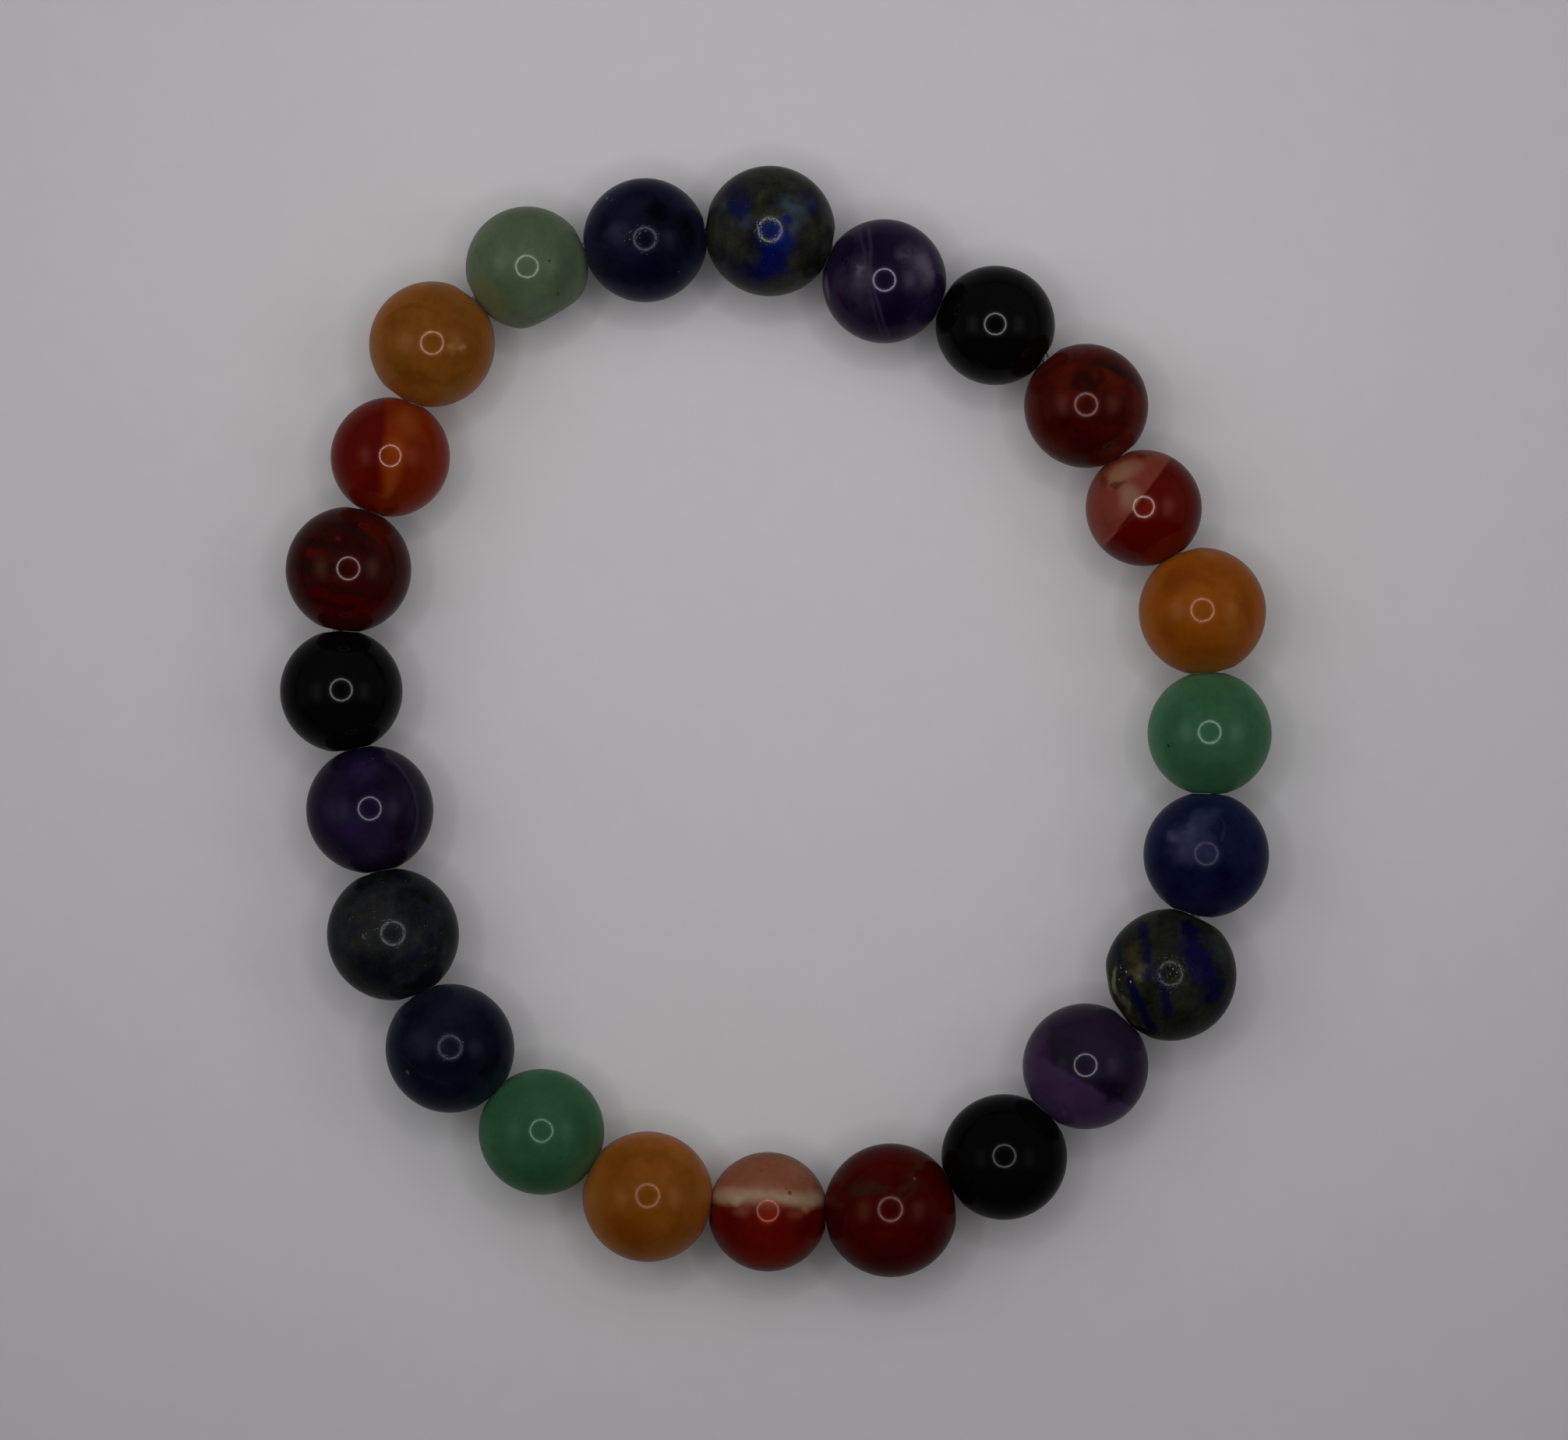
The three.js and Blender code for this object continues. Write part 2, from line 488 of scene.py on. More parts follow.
    def _painted_flank_light(self) -> bpy.types.NodeTree:
        """A colour made paler towards the flank of a ball of radius 1: painted light that stands
        in for light coming through the stone.

        Returns:
            The group.
        """
        group, board, into, out = self._start(
            "Glowing flank",
            {"Vector": "vector", "Gain": "value", "Tint": "colour", "Color": "colour"},
            {"Color": "colour"},
        )
        place, gain, tint, colour = (into.outputs[i] for i in range(4))
        parts = board.add("ShaderNodeSeparateXYZ")
        board.feed(parts, in_0=place)
        height = parts.outputs[2]
        low = board.fade(height, self.GLOW_FULL, self.GLOW_NONE)
        raised = board.vector("MULTIPLY_ADD", colour, self.GLOW_SHARE, tint).outputs[0]
        added = self._scaled(board, raised, board.math("MULTIPLY", low, gain))
        above = board.fade(height, 0.0, self.RIM_TOP)
        rim = board.math("MULTIPLY", above, board.fade(height, 0.0, self.RIM_FOOT))
        thin = board.math("MULTIPLY", rim, self.PAINTED_RIM_LIGHT)
        clear = board.math("MULTIPLY", thin, board.math("MULTIPLY", gain, gain))
        with_painted_glow = board.vector("ADD", colour, added).outputs[0]
        board.feed(out, in_0=board.vector("ADD", with_painted_glow, clear).outputs[0])
        return group

    def _polish(self) -> bpy.types.NodeTree:
        """The height of a tumbled polish: slow ripples with small pits in them.

        Returns:
            The group.
        """
        group, board, into, out = self._start(
            "Polish",
            {"Vector": "vector", "Ripple": "value", "Pits": "value"},
            {"Height": "value"},
        )
        place, ripple, pits = (into.outputs[i] for i in range(3))
        slow = board.add("ShaderNodeTexNoise")
        board.feed(slow, Vector=place, Scale=self.RIPPLE_SCALE, Detail=2.0, Roughness=0.4)
        cells = board.add("ShaderNodeTexVoronoi", feature="F1")
        board.feed(cells, Vector=place, Scale=self.PIT_SCALE)
        hole = board.fade(cells.outputs["Distance"], 0.0, self.PIT_REACH)
        raised = board.math("MULTIPLY", slow.outputs[0], ripple)
        sunk = board.math("MULTIPLY", hole, pits)
        board.feed(out, in_0=board.math("SUBTRACT", raised, sunk))
        return group

    def _gloss(self) -> bpy.types.NodeTree:
        """A roughness that drifts over the surface, as hand polishing leaves it.

        Returns:
            The group.
        """
        group, board, into, out = self._start(
            "Gloss",
            {"Vector": "vector", "Base": "value", "Spread": "value"},
            {"Roughness": "value"},
        )
        place, base, spread = (into.outputs[i] for i in range(3))
        drift = board.add("ShaderNodeTexNoise")
        board.feed(drift, Vector=place, Scale=self.DRIFT_SCALE, Detail=5.0)
        centred = board.math("SUBTRACT", drift.outputs[0], 0.5)
        board.feed(out, in_0=board.math("MULTIPLY_ADD", centred, spread, base))
        return group


# ---------------------------------------------------------------------------------------------
# What the stones show
# ---------------------------------------------------------------------------------------------


class Stone(Enum):
    """The eight stones, in the order in which they repeat. Each value names the stone in its
    pieces' and nodes' names.
    """

    GREEN_AVENTURINE = "green_aventurine"
    SODALITE = "sodalite"
    LAPIS_LAZULI = "lapis_lazuli"
    AMETHYST = "amethyst"
    BLACK_ONYX = "black_onyx"
    RED_JASPER = "red_jasper"
    CARNELIAN = "carnelian"
    YELLOW_AVENTURINE = "yellow_aventurine"


class Edge(Enum):
    """How the edge of a mark runs: as the scale and the amount of its wandering."""

    CLEAN = (1.0, 0.0)
    WAVY = (1.8, 0.22)
    BROKEN = (4.0, 0.42)


@dataclass(frozen=True)
class Cloud:
    """A patch of another colour, round or drawn out along a heading in degrees from +X."""

    at: Spot
    size: float
    colour: Colour
    strength: float = 1.0
    softness: float = 0.8
    stretch: float = 1.0
    heading: float = 0.0
    edge: Edge = Edge.WAVY

    def mask(self, board: NodeBoard, effects: Effects, place: bpy.types.NodeSocket) -> object:
        """Adds the nodes that say where the cloud is, and returns the mask's socket."""
        own = board.feed(
            board.add("ShaderNodeMapping", vector_type="TEXTURE"),
            Vector=place,
            Location=on_bead(self.at),
            Rotation=(0, 0, math.radians(self.heading)),
            Scale=(self.size * self.stretch, self.size, self.size),
        )
        return board.effect(effects.patch, Vector=own.outputs[0], Softness=self.softness)


@dataclass(frozen=True)
class Vein:
    """A thin line of another colour through several places."""

    course: tuple[Spot, ...]
    width: float
    colour: Colour
    strength: float = 1.0
    edge: Edge = Edge.WAVY

    def mask(self, board: NodeBoard, effects: Effects, place: bpy.types.NodeSocket) -> object:
        """Adds the nodes that say where the vein is.

        Args:
            board: The bead's material.
            effects: The shared effects.
            place: The place on the bead, with its edge's wandering.

        Returns:
            The mask's socket.
        """
        whole = None
        for start, end in zip(self.course, self.course[1:]):
            run = board.effect(
                effects.vein,
                Vector=place,
                Start=on_bead(start),
                End=on_bead(end),
                Width=self.width,
            )
            whole = run if whole is None else board.math("MAXIMUM", whole, run)
        return whole


@dataclass(frozen=True)
class Layer:
    """A layer of another colour right through the stone, across the way that it faces."""

    facing: tuple[float, float, float]
    offset: float
    half: float
    colour: Colour
    strength: float = 1.0
    softness: float = 0.05
    edge: Edge = Edge.WAVY

    def mask(self, board: NodeBoard, effects: Effects, place: bpy.types.NodeSocket) -> object:
        """Adds the nodes that say where the layer is, and returns the mask's socket."""
        return board.effect(
            effects.layer,
            Vector=place,
            Facing=Vector(self.facing).normalized(),
            Offset=self.offset,
            Half=self.half,
            Softness=self.softness,
        )


@dataclass(frozen=True)
class Specks:
    """Small scattered grains, over the whole bead or near one place."""

    scale: float
    size: float
    share: float
    colour: Colour
    strength: float = 1.0
    near: Spot = ()
    reach: float = 1.0
    edge: Edge = Edge.CLEAN

    def mask(self, board: NodeBoard, effects: Effects, place: bpy.types.NodeSocket) -> object:
        """Adds the nodes that say where the grains are.

        Args:
            board: The bead's material.
            effects: The shared effects.
            place: The place on the bead, with its edge's wandering.

        Returns:
            The mask's socket.
        """
        grains = board.effect(
            effects.specks, Vector=place, Scale=self.scale, Size=self.size, Share=self.share
        )
        if not self.near:
            return grains
        around = Cloud(self.near, self.reach, self.colour).mask(board, effects, place)
        return board.math("MULTIPLY", grains, around)


Mark = Cloud | Vein | Layer | Specks


@dataclass(frozen=True)
class Body:
    """The stone's own colour, from dark to light, in clouds.

    Glow is how much paler its flank is painted, as painted light that stands in for light from
    the table going through it, and lent is how far its polish takes on its hue.
    """

    dark: Colour
    light: Colour
    scale: float
    contrast: float
    grain: float
    mottle: float = 0.5
    glow: float = 1.0
    lent: float = 0.45
    flank_grey: float = 0.005
    flank_hue: float = 0.035

    @property
    def hue(self) -> tuple[float, ...]:
        """The lighter colour's three parts, as shares of the strongest of them."""
        parts = linear(self.light)[:3]
        return tuple(part / max(parts) for part in parts)

    @property
    def tint(self) -> tuple[float, ...]:
        """The painted light that the flank's colour gains, in the stone's own hue."""
        return (*(self.flank_grey + self.flank_hue * part for part in self.hue), 1.0)

    @property
    def sheen(self) -> tuple[float, ...]:
        """The colour that the stone lends to what its polish gives back."""
        return (*(1 - self.lent * (1 - part) for part in self.hue), 1.0)


@dataclass(frozen=True)
class Polish:
    """How a stone takes its polish. Ripple and pits are in millionths of a metre."""

    shine: float
    roughness: float
    drift: float
    ripple: float
    pits: float = 0.0


RIPPLED = Polish(0.48, 0.12, 0.04, 6.5)


@dataclass(frozen=True)
class Look:
    """One bead's colours, marks and polish."""

    body: Body
    marks: tuple[Mark, ...]
    polish: Polish


def painted_side_reflections(colour: Colour, strength: float) -> tuple[Cloud, ...]:
    """Two painted reflections of the lights at the sides: pale patches, one on each side of the
    crown.

    Args:
        colour: What the patches tend to.
        strength: How far they tend to it.

    Returns:
        The two patches.
    """
    return tuple(
        Cloud((side * 0.43, 0.04), 0.21, colour, strength, 1.0, 1.3, 90.0, Edge.CLEAN)
        for side in (-1, 1)
    )


def mica_green(
    dark: Colour, light: Colour, *marks: Mark, glow: float, polish: Polish = RIPPLED
) -> Look:
    """A green aventurine: an even green with fine mica grains in it.

    Args:
        dark: The darker green.
        light: The lighter green.
        marks: What else the bead shows.
        glow: How much paler its flank is painted, as painted light.
        polish: How it is polished.

    Returns:
        The bead's look.
    """
    shade = tuple(int(0.75 * part) for part in dark)
    return Look(
        Body(dark, light, 1.5, 1.8, 0.3, 0.35, glow),
        (Specks(24.0, 0.18, 0.2, shade, 0.4), *marks),
        polish,
    )


def onyx(shine: float, ripple: float = 1.6) -> Look:
    """A black onyx, with as much shine and ripple as given."""
    polish = Polish(shine, 0.1, 0.02, ripple)
    return Look(Body((4, 5, 4), (9, 10, 9), 1.2, 1.5, 0.1, glow=0.0), (), polish)


LOOKS: tuple[Look, ...] = (
    # 1 to 8: the first repeat, clockwise from the upper left
    # 1, green aventurine
    mica_green(
        (77, 94, 67),
        (102, 116, 91),
        *painted_side_reflections((116, 132, 109), 0.35),
        Cloud((-0.62, -0.5), 0.5, (108, 107, 65), 0.6, 1.0, 1.3, 130.0),
        Cloud((-0.3, 0.65), 0.45, (97, 111, 88), 0.4, 1.0),
        Cloud((0.6, -0.1), 0.45, (73, 90, 65), 0.5, 1.0, 1.5, 70.0),
        Cloud((0.3, -0.7), 0.3, (108, 121, 96), 0.5, 1.0, 1.5, 30.0),
        Vein(((-0.25, 0.85), (-0.12, 0.5), (-0.2, 0.3)), 0.12, (77, 94, 65), 0.3),
        Vein(((-0.45, -0.3), (-0.3, -0.38), (-0.1, -0.3)), 0.12, (77, 94, 65), 0.3),
        Cloud((0.38, 0.08), 0.03, (48, 58, 49), 0.9, 0.6),
        Cloud((0.5, -0.2), 0.04, (37, 51, 36), 0.95, 0.5, 1.5, 80.0),
        Cloud((0.5, -0.46), 0.05, (54, 63, 46), 0.6, 0.7, 1.2, 60.0),
        glow=0.5,
        polish=Polish(0.53, 0.12, 0.04, 6.5),
    ),
    # 2, sodalite
    Look(
        Body((2, 4, 23), (23, 26, 48), 1.6, 2.4, 0.3, 0.7, glow=0.6, lent=0.3),
        (
            Cloud((-0.3, 0.4), 0.55, (25, 28, 51), 0.7, 1.0, 1.4, 130.0, Edge.BROKEN),
            Cloud((-0.48, 0.08), 0.28, (46, 50, 69), 0.75, 1.0, 1.2, 30.0, Edge.BROKEN),
            Cloud((0.4, 0.02), 0.22, (34, 32, 55), 0.6, 1.0),
            Cloud((0.72, 0.1), 0.42, (1, 2, 9), 0.9, 0.9, 1.5, 95.0, Edge.BROKEN),
            Cloud((0.22, 0.42), 0.3, (1, 2, 7), 0.95, 0.8, 1.4, 10.0, Edge.BROKEN),
            Cloud((0.1, -0.55), 0.5, (0, 3, 23), 0.7, 1.0, 1.3),
            Cloud((-0.6, 0.67), 0.035, (110, 106, 122), 0.8, 0.6),
            Cloud((-0.52, 0.62), 0.025, (89, 86, 102), 0.8, 0.6),
            Cloud((0.54, -0.53), 0.025, (78, 78, 102), 0.8, 0.6),
            Specks(24.0, 0.26, 0.4, (177, 170, 189), 0.9, (-0.2, 0.02), 0.2),
        ),
        Polish(0.235, 0.14, 0.1, 7.0, 5.0),
    ),
    # 3, lapis lazuli
    Look(
        Body((19, 20, 15), (55, 56, 45), 2.4, 2.6, 0.5, 1.3, glow=0.1, lent=0.1),
        (
            Cloud((-0.52, 0.46), 0.44, (16, 21, 49), 0.85, 1.0, 1.3, 75.0, Edge.BROKEN),
            Cloud((0.05, -0.25), 0.46, (14, 22, 57), 0.75, 1.0, 1.5, 60.0, Edge.BROKEN),
            Cloud((-0.45, -0.68), 0.4, (11, 16, 49), 0.85, 0.9, 1.9, 150.0, Edge.BROKEN),
            Cloud((0.66, 0.45), 0.34, (15, 19, 45), 0.8, 1.0, 1.3, 100.0, Edge.BROKEN),
            Cloud((-0.56, 0.66), 0.18, (10, 15, 59), 0.8, 0.7, 1.6, 70.0, Edge.BROKEN),
            Cloud((-0.48, 0.28), 0.25, (12, 22, 75), 0.9, 0.7, 1.4, 110.0, Edge.BROKEN),
            Cloud((-0.37, 0.1), 0.13, (49, 52, 79), 0.7, 0.9, 1.2, 30.0, Edge.BROKEN),
            Cloud((0.0, 0.0), 0.25, (20, 34, 96), 0.95, 0.7, 1.2, 0.0, Edge.BROKEN),
            Cloud((0.2, -0.2), 0.26, (13, 28, 98), 0.95, 0.7, 1.4, 70.0, Edge.BROKEN),
            Cloud((0.0, -0.45), 0.26, (5, 14, 82), 0.95, 0.7, 1.3, 30.0, Edge.BROKEN),
            Cloud((-0.18, -0.7), 0.23, (5, 12, 69), 0.9, 0.8, 1.3, 120.0, Edge.BROKEN),
            Cloud((0.38, 0.3), 0.25, (65, 80, 98), 0.85, 0.9, 1.5, 160.0, Edge.BROKEN),
            Cloud((0.36, 0.02), 0.15, (57, 66, 84), 0.75, 0.9, 1.7, 95.0, Edge.BROKEN),
            Cloud((0.26, 0.13), 0.11, (16, 30, 98), 0.95, 0.5, 1.1, 0.0),
            Cloud((0.68, 0.34), 0.17, (14, 18, 59), 0.85, 0.7, 1.2, 30.0, Edge.BROKEN),
            Cloud((0.62, -0.5), 0.36, (8, 9, 10), 0.6, 0.9, 1.2, 40.0, Edge.BROKEN),
            Cloud((0.2, 0.5, -0.6), 0.5, (6, 14, 65), 0.9, 0.6, 1.5, 20.0, Edge.BROKEN),
            Cloud((-0.6, -0.4, -0.5), 0.45, (4, 10, 59), 0.9, 0.6, 1.2, 70.0, Edge.BROKEN),
            Cloud((0.05, -0.62), 0.3, (7, 14, 78), 0.85, 0.9, 1.4, 160.0, Edge.BROKEN),
            Cloud((-0.74, 0.34), 0.16, (52, 62, 78), 0.6, 0.9, 1.6, 70.0, Edge.BROKEN),
            Cloud((0.6, 0.42), 0.2, (40, 52, 84), 0.6, 0.9, 1.3, 20.0, Edge.BROKEN),
            Specks(22.0, 0.2, 0.06, (118, 113, 82), 0.7),
            Specks(20.0, 0.22, 0.25, (128, 141, 167), 0.6, (0.0, 0.05), 0.3),
        ),
        Polish(0.4, 0.13, 0.08, 6.0, 4.0),
    ),
    # 4, amethyst
    Look(
        Body((16, 6, 34), (34, 25, 53), 1.6, 1.9, 0.2, 0.6, glow=0.4, lent=0.3),
        (
            Cloud((0.2, -0.5), 0.4, (14, 2, 33), 0.7, 1.0, 1.3, 60.0),
            Cloud((-0.42, -0.3), 0.4, (53, 47, 62), 0.7, 1.0, 1.5, 80.0, Edge.BROKEN),
            Cloud((-0.72, 0.02), 0.24, (58, 50, 67), 0.55, 1.0, 1.4, 90.0, Edge.BROKEN),
            Cloud((-0.4, 0.1), 0.32, (81, 70, 89), 0.6, 1.0, 1.6, 95.0, Edge.BROKEN),
            Cloud((-0.42, 0.13), 0.1, (117, 102, 119), 0.65, 0.9, 1.2, 20.0, Edge.BROKEN),
            Cloud((-0.48, -0.42), 0.15, (16, 9, 30), 0.6, 0.9, 1.3, 0.0, Edge.BROKEN),
            Cloud((0.58, 0.25), 0.5, (71, 60, 81), 0.85, 0.9, 1.3, 70.0, Edge.BROKEN),
            Cloud((0.35, 0.4), 0.18, (83, 75, 93), 0.6, 0.9, 2.0, 20.0, Edge.BROKEN),
            Cloud((0.66, 0.2), 0.26, (103, 92, 111), 0.8, 0.9, 1.8, 100.0, Edge.BROKEN),
            Cloud((0.26, 0.5), 0.12, (16, 10, 32), 0.5, 0.9, 1.5, 30.0, Edge.BROKEN),
            Cloud((0.4, 0.0), 0.17, (67, 56, 80), 0.6, 1.0, 1.3, 90.0),
            Cloud((-0.93, -0.12), 0.14, (99, 92, 109), 0.8, 0.8, 2.0, 90.0),
            Vein(
                ((-0.4, 0.84), (-0.32, 0.42), (-0.28, 0.05), (-0.19, -0.41), (-0.03, -0.88)),
                0.045,
                (75, 62, 89),
                0.24,
                Edge.CLEAN,
            ),
            Vein(
                ((-0.25, 0.88), (-0.22, 0.5), (-0.23, 0.05), (-0.1, -0.41), (0.07, -0.9)),
                0.045,
                (79, 66, 93),
                0.28,
                Edge.CLEAN,
            ),
        ),
        Polish(0.52, 0.1, 0.02, 1.6),
    ),
    # 5, black onyx
    onyx(0.33),
    # 6, red jasper
    Look(
        Body((49, 2, 0), (79, 18, 5), 1.9, 2.4, 0.35, 0.8, glow=0.5, lent=0.42),
        (
            *painted_side_reflections((106, 51, 32), 0.35),
            Cloud((-0.35, 0.6), 0.45, (92, 19, 7), 0.6, 1.0, 1.3, 20.0, Edge.BROKEN),
            Cloud((0.36, 0.42), 0.3, (99, 22, 9), 0.7, 0.9, 1.5, 150.0, Edge.BROKEN),
            Cloud((0.78, 0.0), 0.35, (88, 26, 12), 0.5, 1.0, 1.6, 90.0),
            Cloud((-0.7, 0.1), 0.3, (83, 19, 7), 0.5, 1.0, 1.6, 90.0, Edge.BROKEN),
            Cloud((0.05, -0.75), 0.45, (53, 0, 0), 0.7, 1.0, 1.4),
            Cloud((0.0, 0.4), 0.26, (51, 10, 5), 0.4, 1.0, 1.3, 10.0, Edge.BROKEN),
            Vein(
                ((-0.2, 0.28), (-0.17, 0.45), (-0.05, 0.5), (0.0, 0.36)),
                0.11,
                (39, 11, 5),
                0.75,
                Edge.WAVY,
            ),
            Vein(
                ((0.0, 0.36), (0.12, 0.34), (0.22, 0.42), (0.19, 0.55)),
                0.09,
                (39, 11, 5),
                0.7,
                Edge.WAVY,
            ),
            Cloud((0.1, 0.46), 0.07, (92, 18, 7), 0.7, 0.8, 1.4, 20.0, Edge.BROKEN),
            Vein(((-0.12, 0.22), (0.0, 0.27), (0.14, 0.2)), 0.07, (40, 10, 5), 0.7),
            Cloud((0.12, 0.63), 0.11, (32, 17, 12), 0.85, 0.8, 1.8, 20.0, Edge.BROKEN),
            Vein(((0.18, 0.66), (0.34, 0.64), (0.5, 0.6)), 0.09, (38, 19, 15), 0.7),
            Vein(
                ((0.44, 0.6), (0.6, 0.53), (0.74, 0.4), (0.84, 0.24)),
                0.13,
                (35, 20, 16),
                0.85,
                Edge.WAVY,
            ),
            Vein(((0.5, 0.68), (0.68, 0.57), (0.81, 0.42)), 0.08, (42, 24, 19), 0.75),
            Vein(((-0.7, -0.65), (-0.4, -0.82), (0.0, -0.9)), 0.1, (32, 8, 5), 0.7),
            Vein(((0.25, -0.72), (0.5, -0.6), (0.7, -0.6)), 0.09, (35, 8, 5), 0.6),
            Vein(((-0.78, 0.45), (-0.5, 0.62), (-0.2, 0.72)), 0.09, (49, 8, 5), 0.6),
        ),
        Polish(0.41, 0.12, 0.04, 5.0),
    ),
    # 7, carnelian
    Look(
        Body((80, 0, 0), (101, 10, 2), 1.4, 1.8, 0.1, 0.4, glow=0.15, lent=0.32),
        (
            Cloud((0.55, -0.6), 0.42, (98, 9, 0), 0.4, 1.0, 1.4, 60.0),
            Layer((-0.8, 0.6, 0.0), 1.14, 1.0, (135, 59, 44), 1.0, 0.03, Edge.CLEAN),
            Cloud((-0.4, 0.62), 0.34, (161, 113, 87), 0.95, 0.7, 1.5, 30.0),
            Cloud((-0.28, 0.2), 0.26, (158, 109, 87), 0.9, 0.8, 1.5, 110.0),
            Cloud((-0.16, 0.74), 0.18, (152, 94, 72), 0.8, 0.8, 1.4, 100.0),
            Cloud((-0.7, 0.44), 0.16, (106, 38, 24), 0.8, 0.7, 1.8, 0.0, Edge.BROKEN),
            Cloud((-0.48, 0.42), 0.1, (101, 50, 30), 0.9, 0.7, 2.0, 5.0, Edge.BROKEN),
            Cloud((0.0, 0.9), 0.12, (98, 24, 13), 0.7, 0.8, 1.4, 0.0),
            Cloud((-0.72, -0.05), 0.3, (130, 59, 46), 0.7, 1.0, 1.3, 80.0),
            Vein(
                ((-0.7, -0.58), (-0.42, -0.38), (-0.18, -0.14)),
                0.035,
                (152, 77, 62),
                0.7,
                Edge.CLEAN,
            ),
            Layer((0.8, -0.6, 0.0), 0.86, 1.0, (94, 6, 0), 0.9, 0.03, Edge.CLEAN),
            Cloud((0.6, 0.15), 0.4, (107, 22, 9), 0.6, 1.0, 1.4, 90.0),
            Cloud((0.02, -0.02), 0.26, (132, 30, 3), 0.85, 1.0),
            # Painted reflection of the light at the right side: a pale patch beside the crown
            Cloud((0.43, 0.04), 0.21, (126, 50, 41), 0.35, 1.0, 1.3, 90.0, Edge.CLEAN),
            Vein(((-0.9, -0.2), (-0.6, -0.32), (-0.35, -0.2)), 0.03, (119, 46, 33), 0.4),
        ),
        Polish(0.74, 0.11, 0.03, 3.0),
    ),
    # 8, yellow aventurine
    Look(
        Body((135, 67, 6), (158, 87, 22), 1.6, 1.8, 0.25, 0.3, glow=0.6, lent=0.55),
        (
            *painted_side_reflections((175, 112, 57), 0.3),
            Cloud((-0.42, 0.5), 0.42, (126, 57, 8), 0.6, 1.0, 1.3, 40.0, Edge.BROKEN),
            Cloud((0.5, -0.35), 0.4, (150, 92, 34), 0.5, 1.0, 1.2, 60.0, Edge.BROKEN),
            Cloud((-0.6, -0.3), 0.3, (137, 61, 8), 0.5, 1.0, 1.3, 90.0, Edge.BROKEN),
            Cloud((0.0, -0.7), 0.5, (128, 62, 0), 0.7, 1.0, 1.5),
            Vein(((-0.5, 0.5), (-0.2, 0.56), (0.1, 0.42)), 0.13, (130, 60, 12), 0.4),
            Vein(((0.0, 0.85), (0.16, 0.6), (0.34, 0.62)), 0.12, (132, 65, 12), 0.35),
            Vein(((0.5, 0.2), (0.7, 0.02), (0.74, -0.3)), 0.12, (130, 65, 18), 0.4),
            Specks(20.0, 0.18, 0.12, (119, 60, 16), 0.4),
        ),
        Polish(0.51, 0.12, 0.03, 3.5),
    ),
    # 9 to 16: the second repeat
    # 9, green aventurine
    mica_green(
        (49, 92, 58),
        (64, 110, 77),
        *painted_side_reflections((87, 133, 103), 0.3),
        Cloud((-0.1, -0.65), 0.45, (47, 92, 56), 0.6, 1.0, 1.5),
        Cloud((-0.68, -0.19), 0.045, (24, 47, 32), 0.95, 0.5),
        Cloud((-0.62, -0.16), 0.03, (40, 70, 46), 0.7, 0.6),
        Vein(((-0.2, 0.85), (0.1, 0.55), (0.5, 0.5)), 0.13, (48, 89, 57), 0.3),
        Vein(((0.6, 0.6), (0.72, 0.3)), 0.03, (42, 74, 54), 0.4),
        glow=0.7,
    ),
    # 10, sodalite
    Look(
        Body((3, 9, 39), (26, 30, 61), 1.4, 2.0, 0.4, 0.8, glow=0.45, lent=0.35),
        (
            Cloud((-0.32, 0.26), 0.5, (62, 66, 92), 0.8, 1.0, 1.2, 60.0, Edge.BROKEN),
            Cloud((-0.05, 0.62), 0.32, (51, 59, 87), 0.7, 1.0, 1.3, 20.0, Edge.BROKEN),
            Cloud((-0.58, 0.3), 0.18, (78, 80, 105), 0.6, 0.9, 1.3, 60.0, Edge.BROKEN),
            Cloud((-0.3, 0.45), 0.15, (71, 76, 103), 0.5, 0.9, 1.5, 120.0, Edge.BROKEN),
            Cloud((0.0, 0.02), 0.3, (51, 54, 85), 0.7, 1.0),
            Cloud((-0.55, -0.55), 0.4, (0, 6, 36), 0.6, 1.0),
            Vein(((0.15, 0.75), (0.25, 0.5), (0.2, 0.25)), 0.05, (40, 45, 81), 0.5),
        ),
        Polish(0.14, 0.13, 0.06, 5.0, 1.0),
    ),
    # 11, lapis lazuli
    Look(
        Body((15, 16, 12), (46, 47, 37), 2.2, 2.4, 0.6, 1.4, glow=0.0),
        (
            Cloud((0.4, 0.3), 0.5, (15, 16, 49), 0.7, 1.0, 1.9, 110.0, Edge.BROKEN),
            Cloud((0.74, 0.38), 0.28, (52, 56, 60), 0.75, 0.9, 1.4, 100.0, Edge.BROKEN),
            Cloud((0.26, 0.68), 0.24, (9, 9, 49), 0.95, 0.5, 1.9, 100.0, Edge.BROKEN),
            Cloud((0.42, 0.2), 0.3, (11, 11, 56), 0.95, 0.5, 1.6, 110.0, Edge.BROKEN),
            Cloud((0.68, -0.2), 0.27, (8, 7, 48), 0.9, 0.6, 1.6, 120.0, Edge.BROKEN),
            Cloud((0.78, -0.5), 0.2, (10, 11, 52), 0.8, 0.8, 1.4, 60.0, Edge.BROKEN),
            Vein(((-0.42, 0.78), (-0.4, 0.4), (-0.36, 0.04)), 0.13, (13, 15, 52), 0.9),
            Vein(((-0.76, 0.62), (-0.78, 0.35), (-0.74, 0.08)), 0.09, (15, 17, 52), 0.85),
            Cloud((-0.6, 0.3), 0.27, (68, 60, 37), 0.75, 0.9, 1.8, 95.0, Edge.BROKEN),
            Cloud((-0.52, 0.02), 0.18, (94, 85, 60), 0.75, 0.8, 1.4, 30.0, Edge.BROKEN),
            Cloud((-0.86, -0.1), 0.13, (124, 118, 94), 0.85, 0.6, 1.9, 100.0, Edge.BROKEN),
            Cloud((-0.74, -0.4), 0.13, (88, 83, 63), 0.8, 0.7, 2.2, 120.0, Edge.BROKEN),
            Cloud((-0.52, -0.72), 0.12, (68, 65, 49), 0.75, 0.8, 2.2, 140.0, Edge.BROKEN),
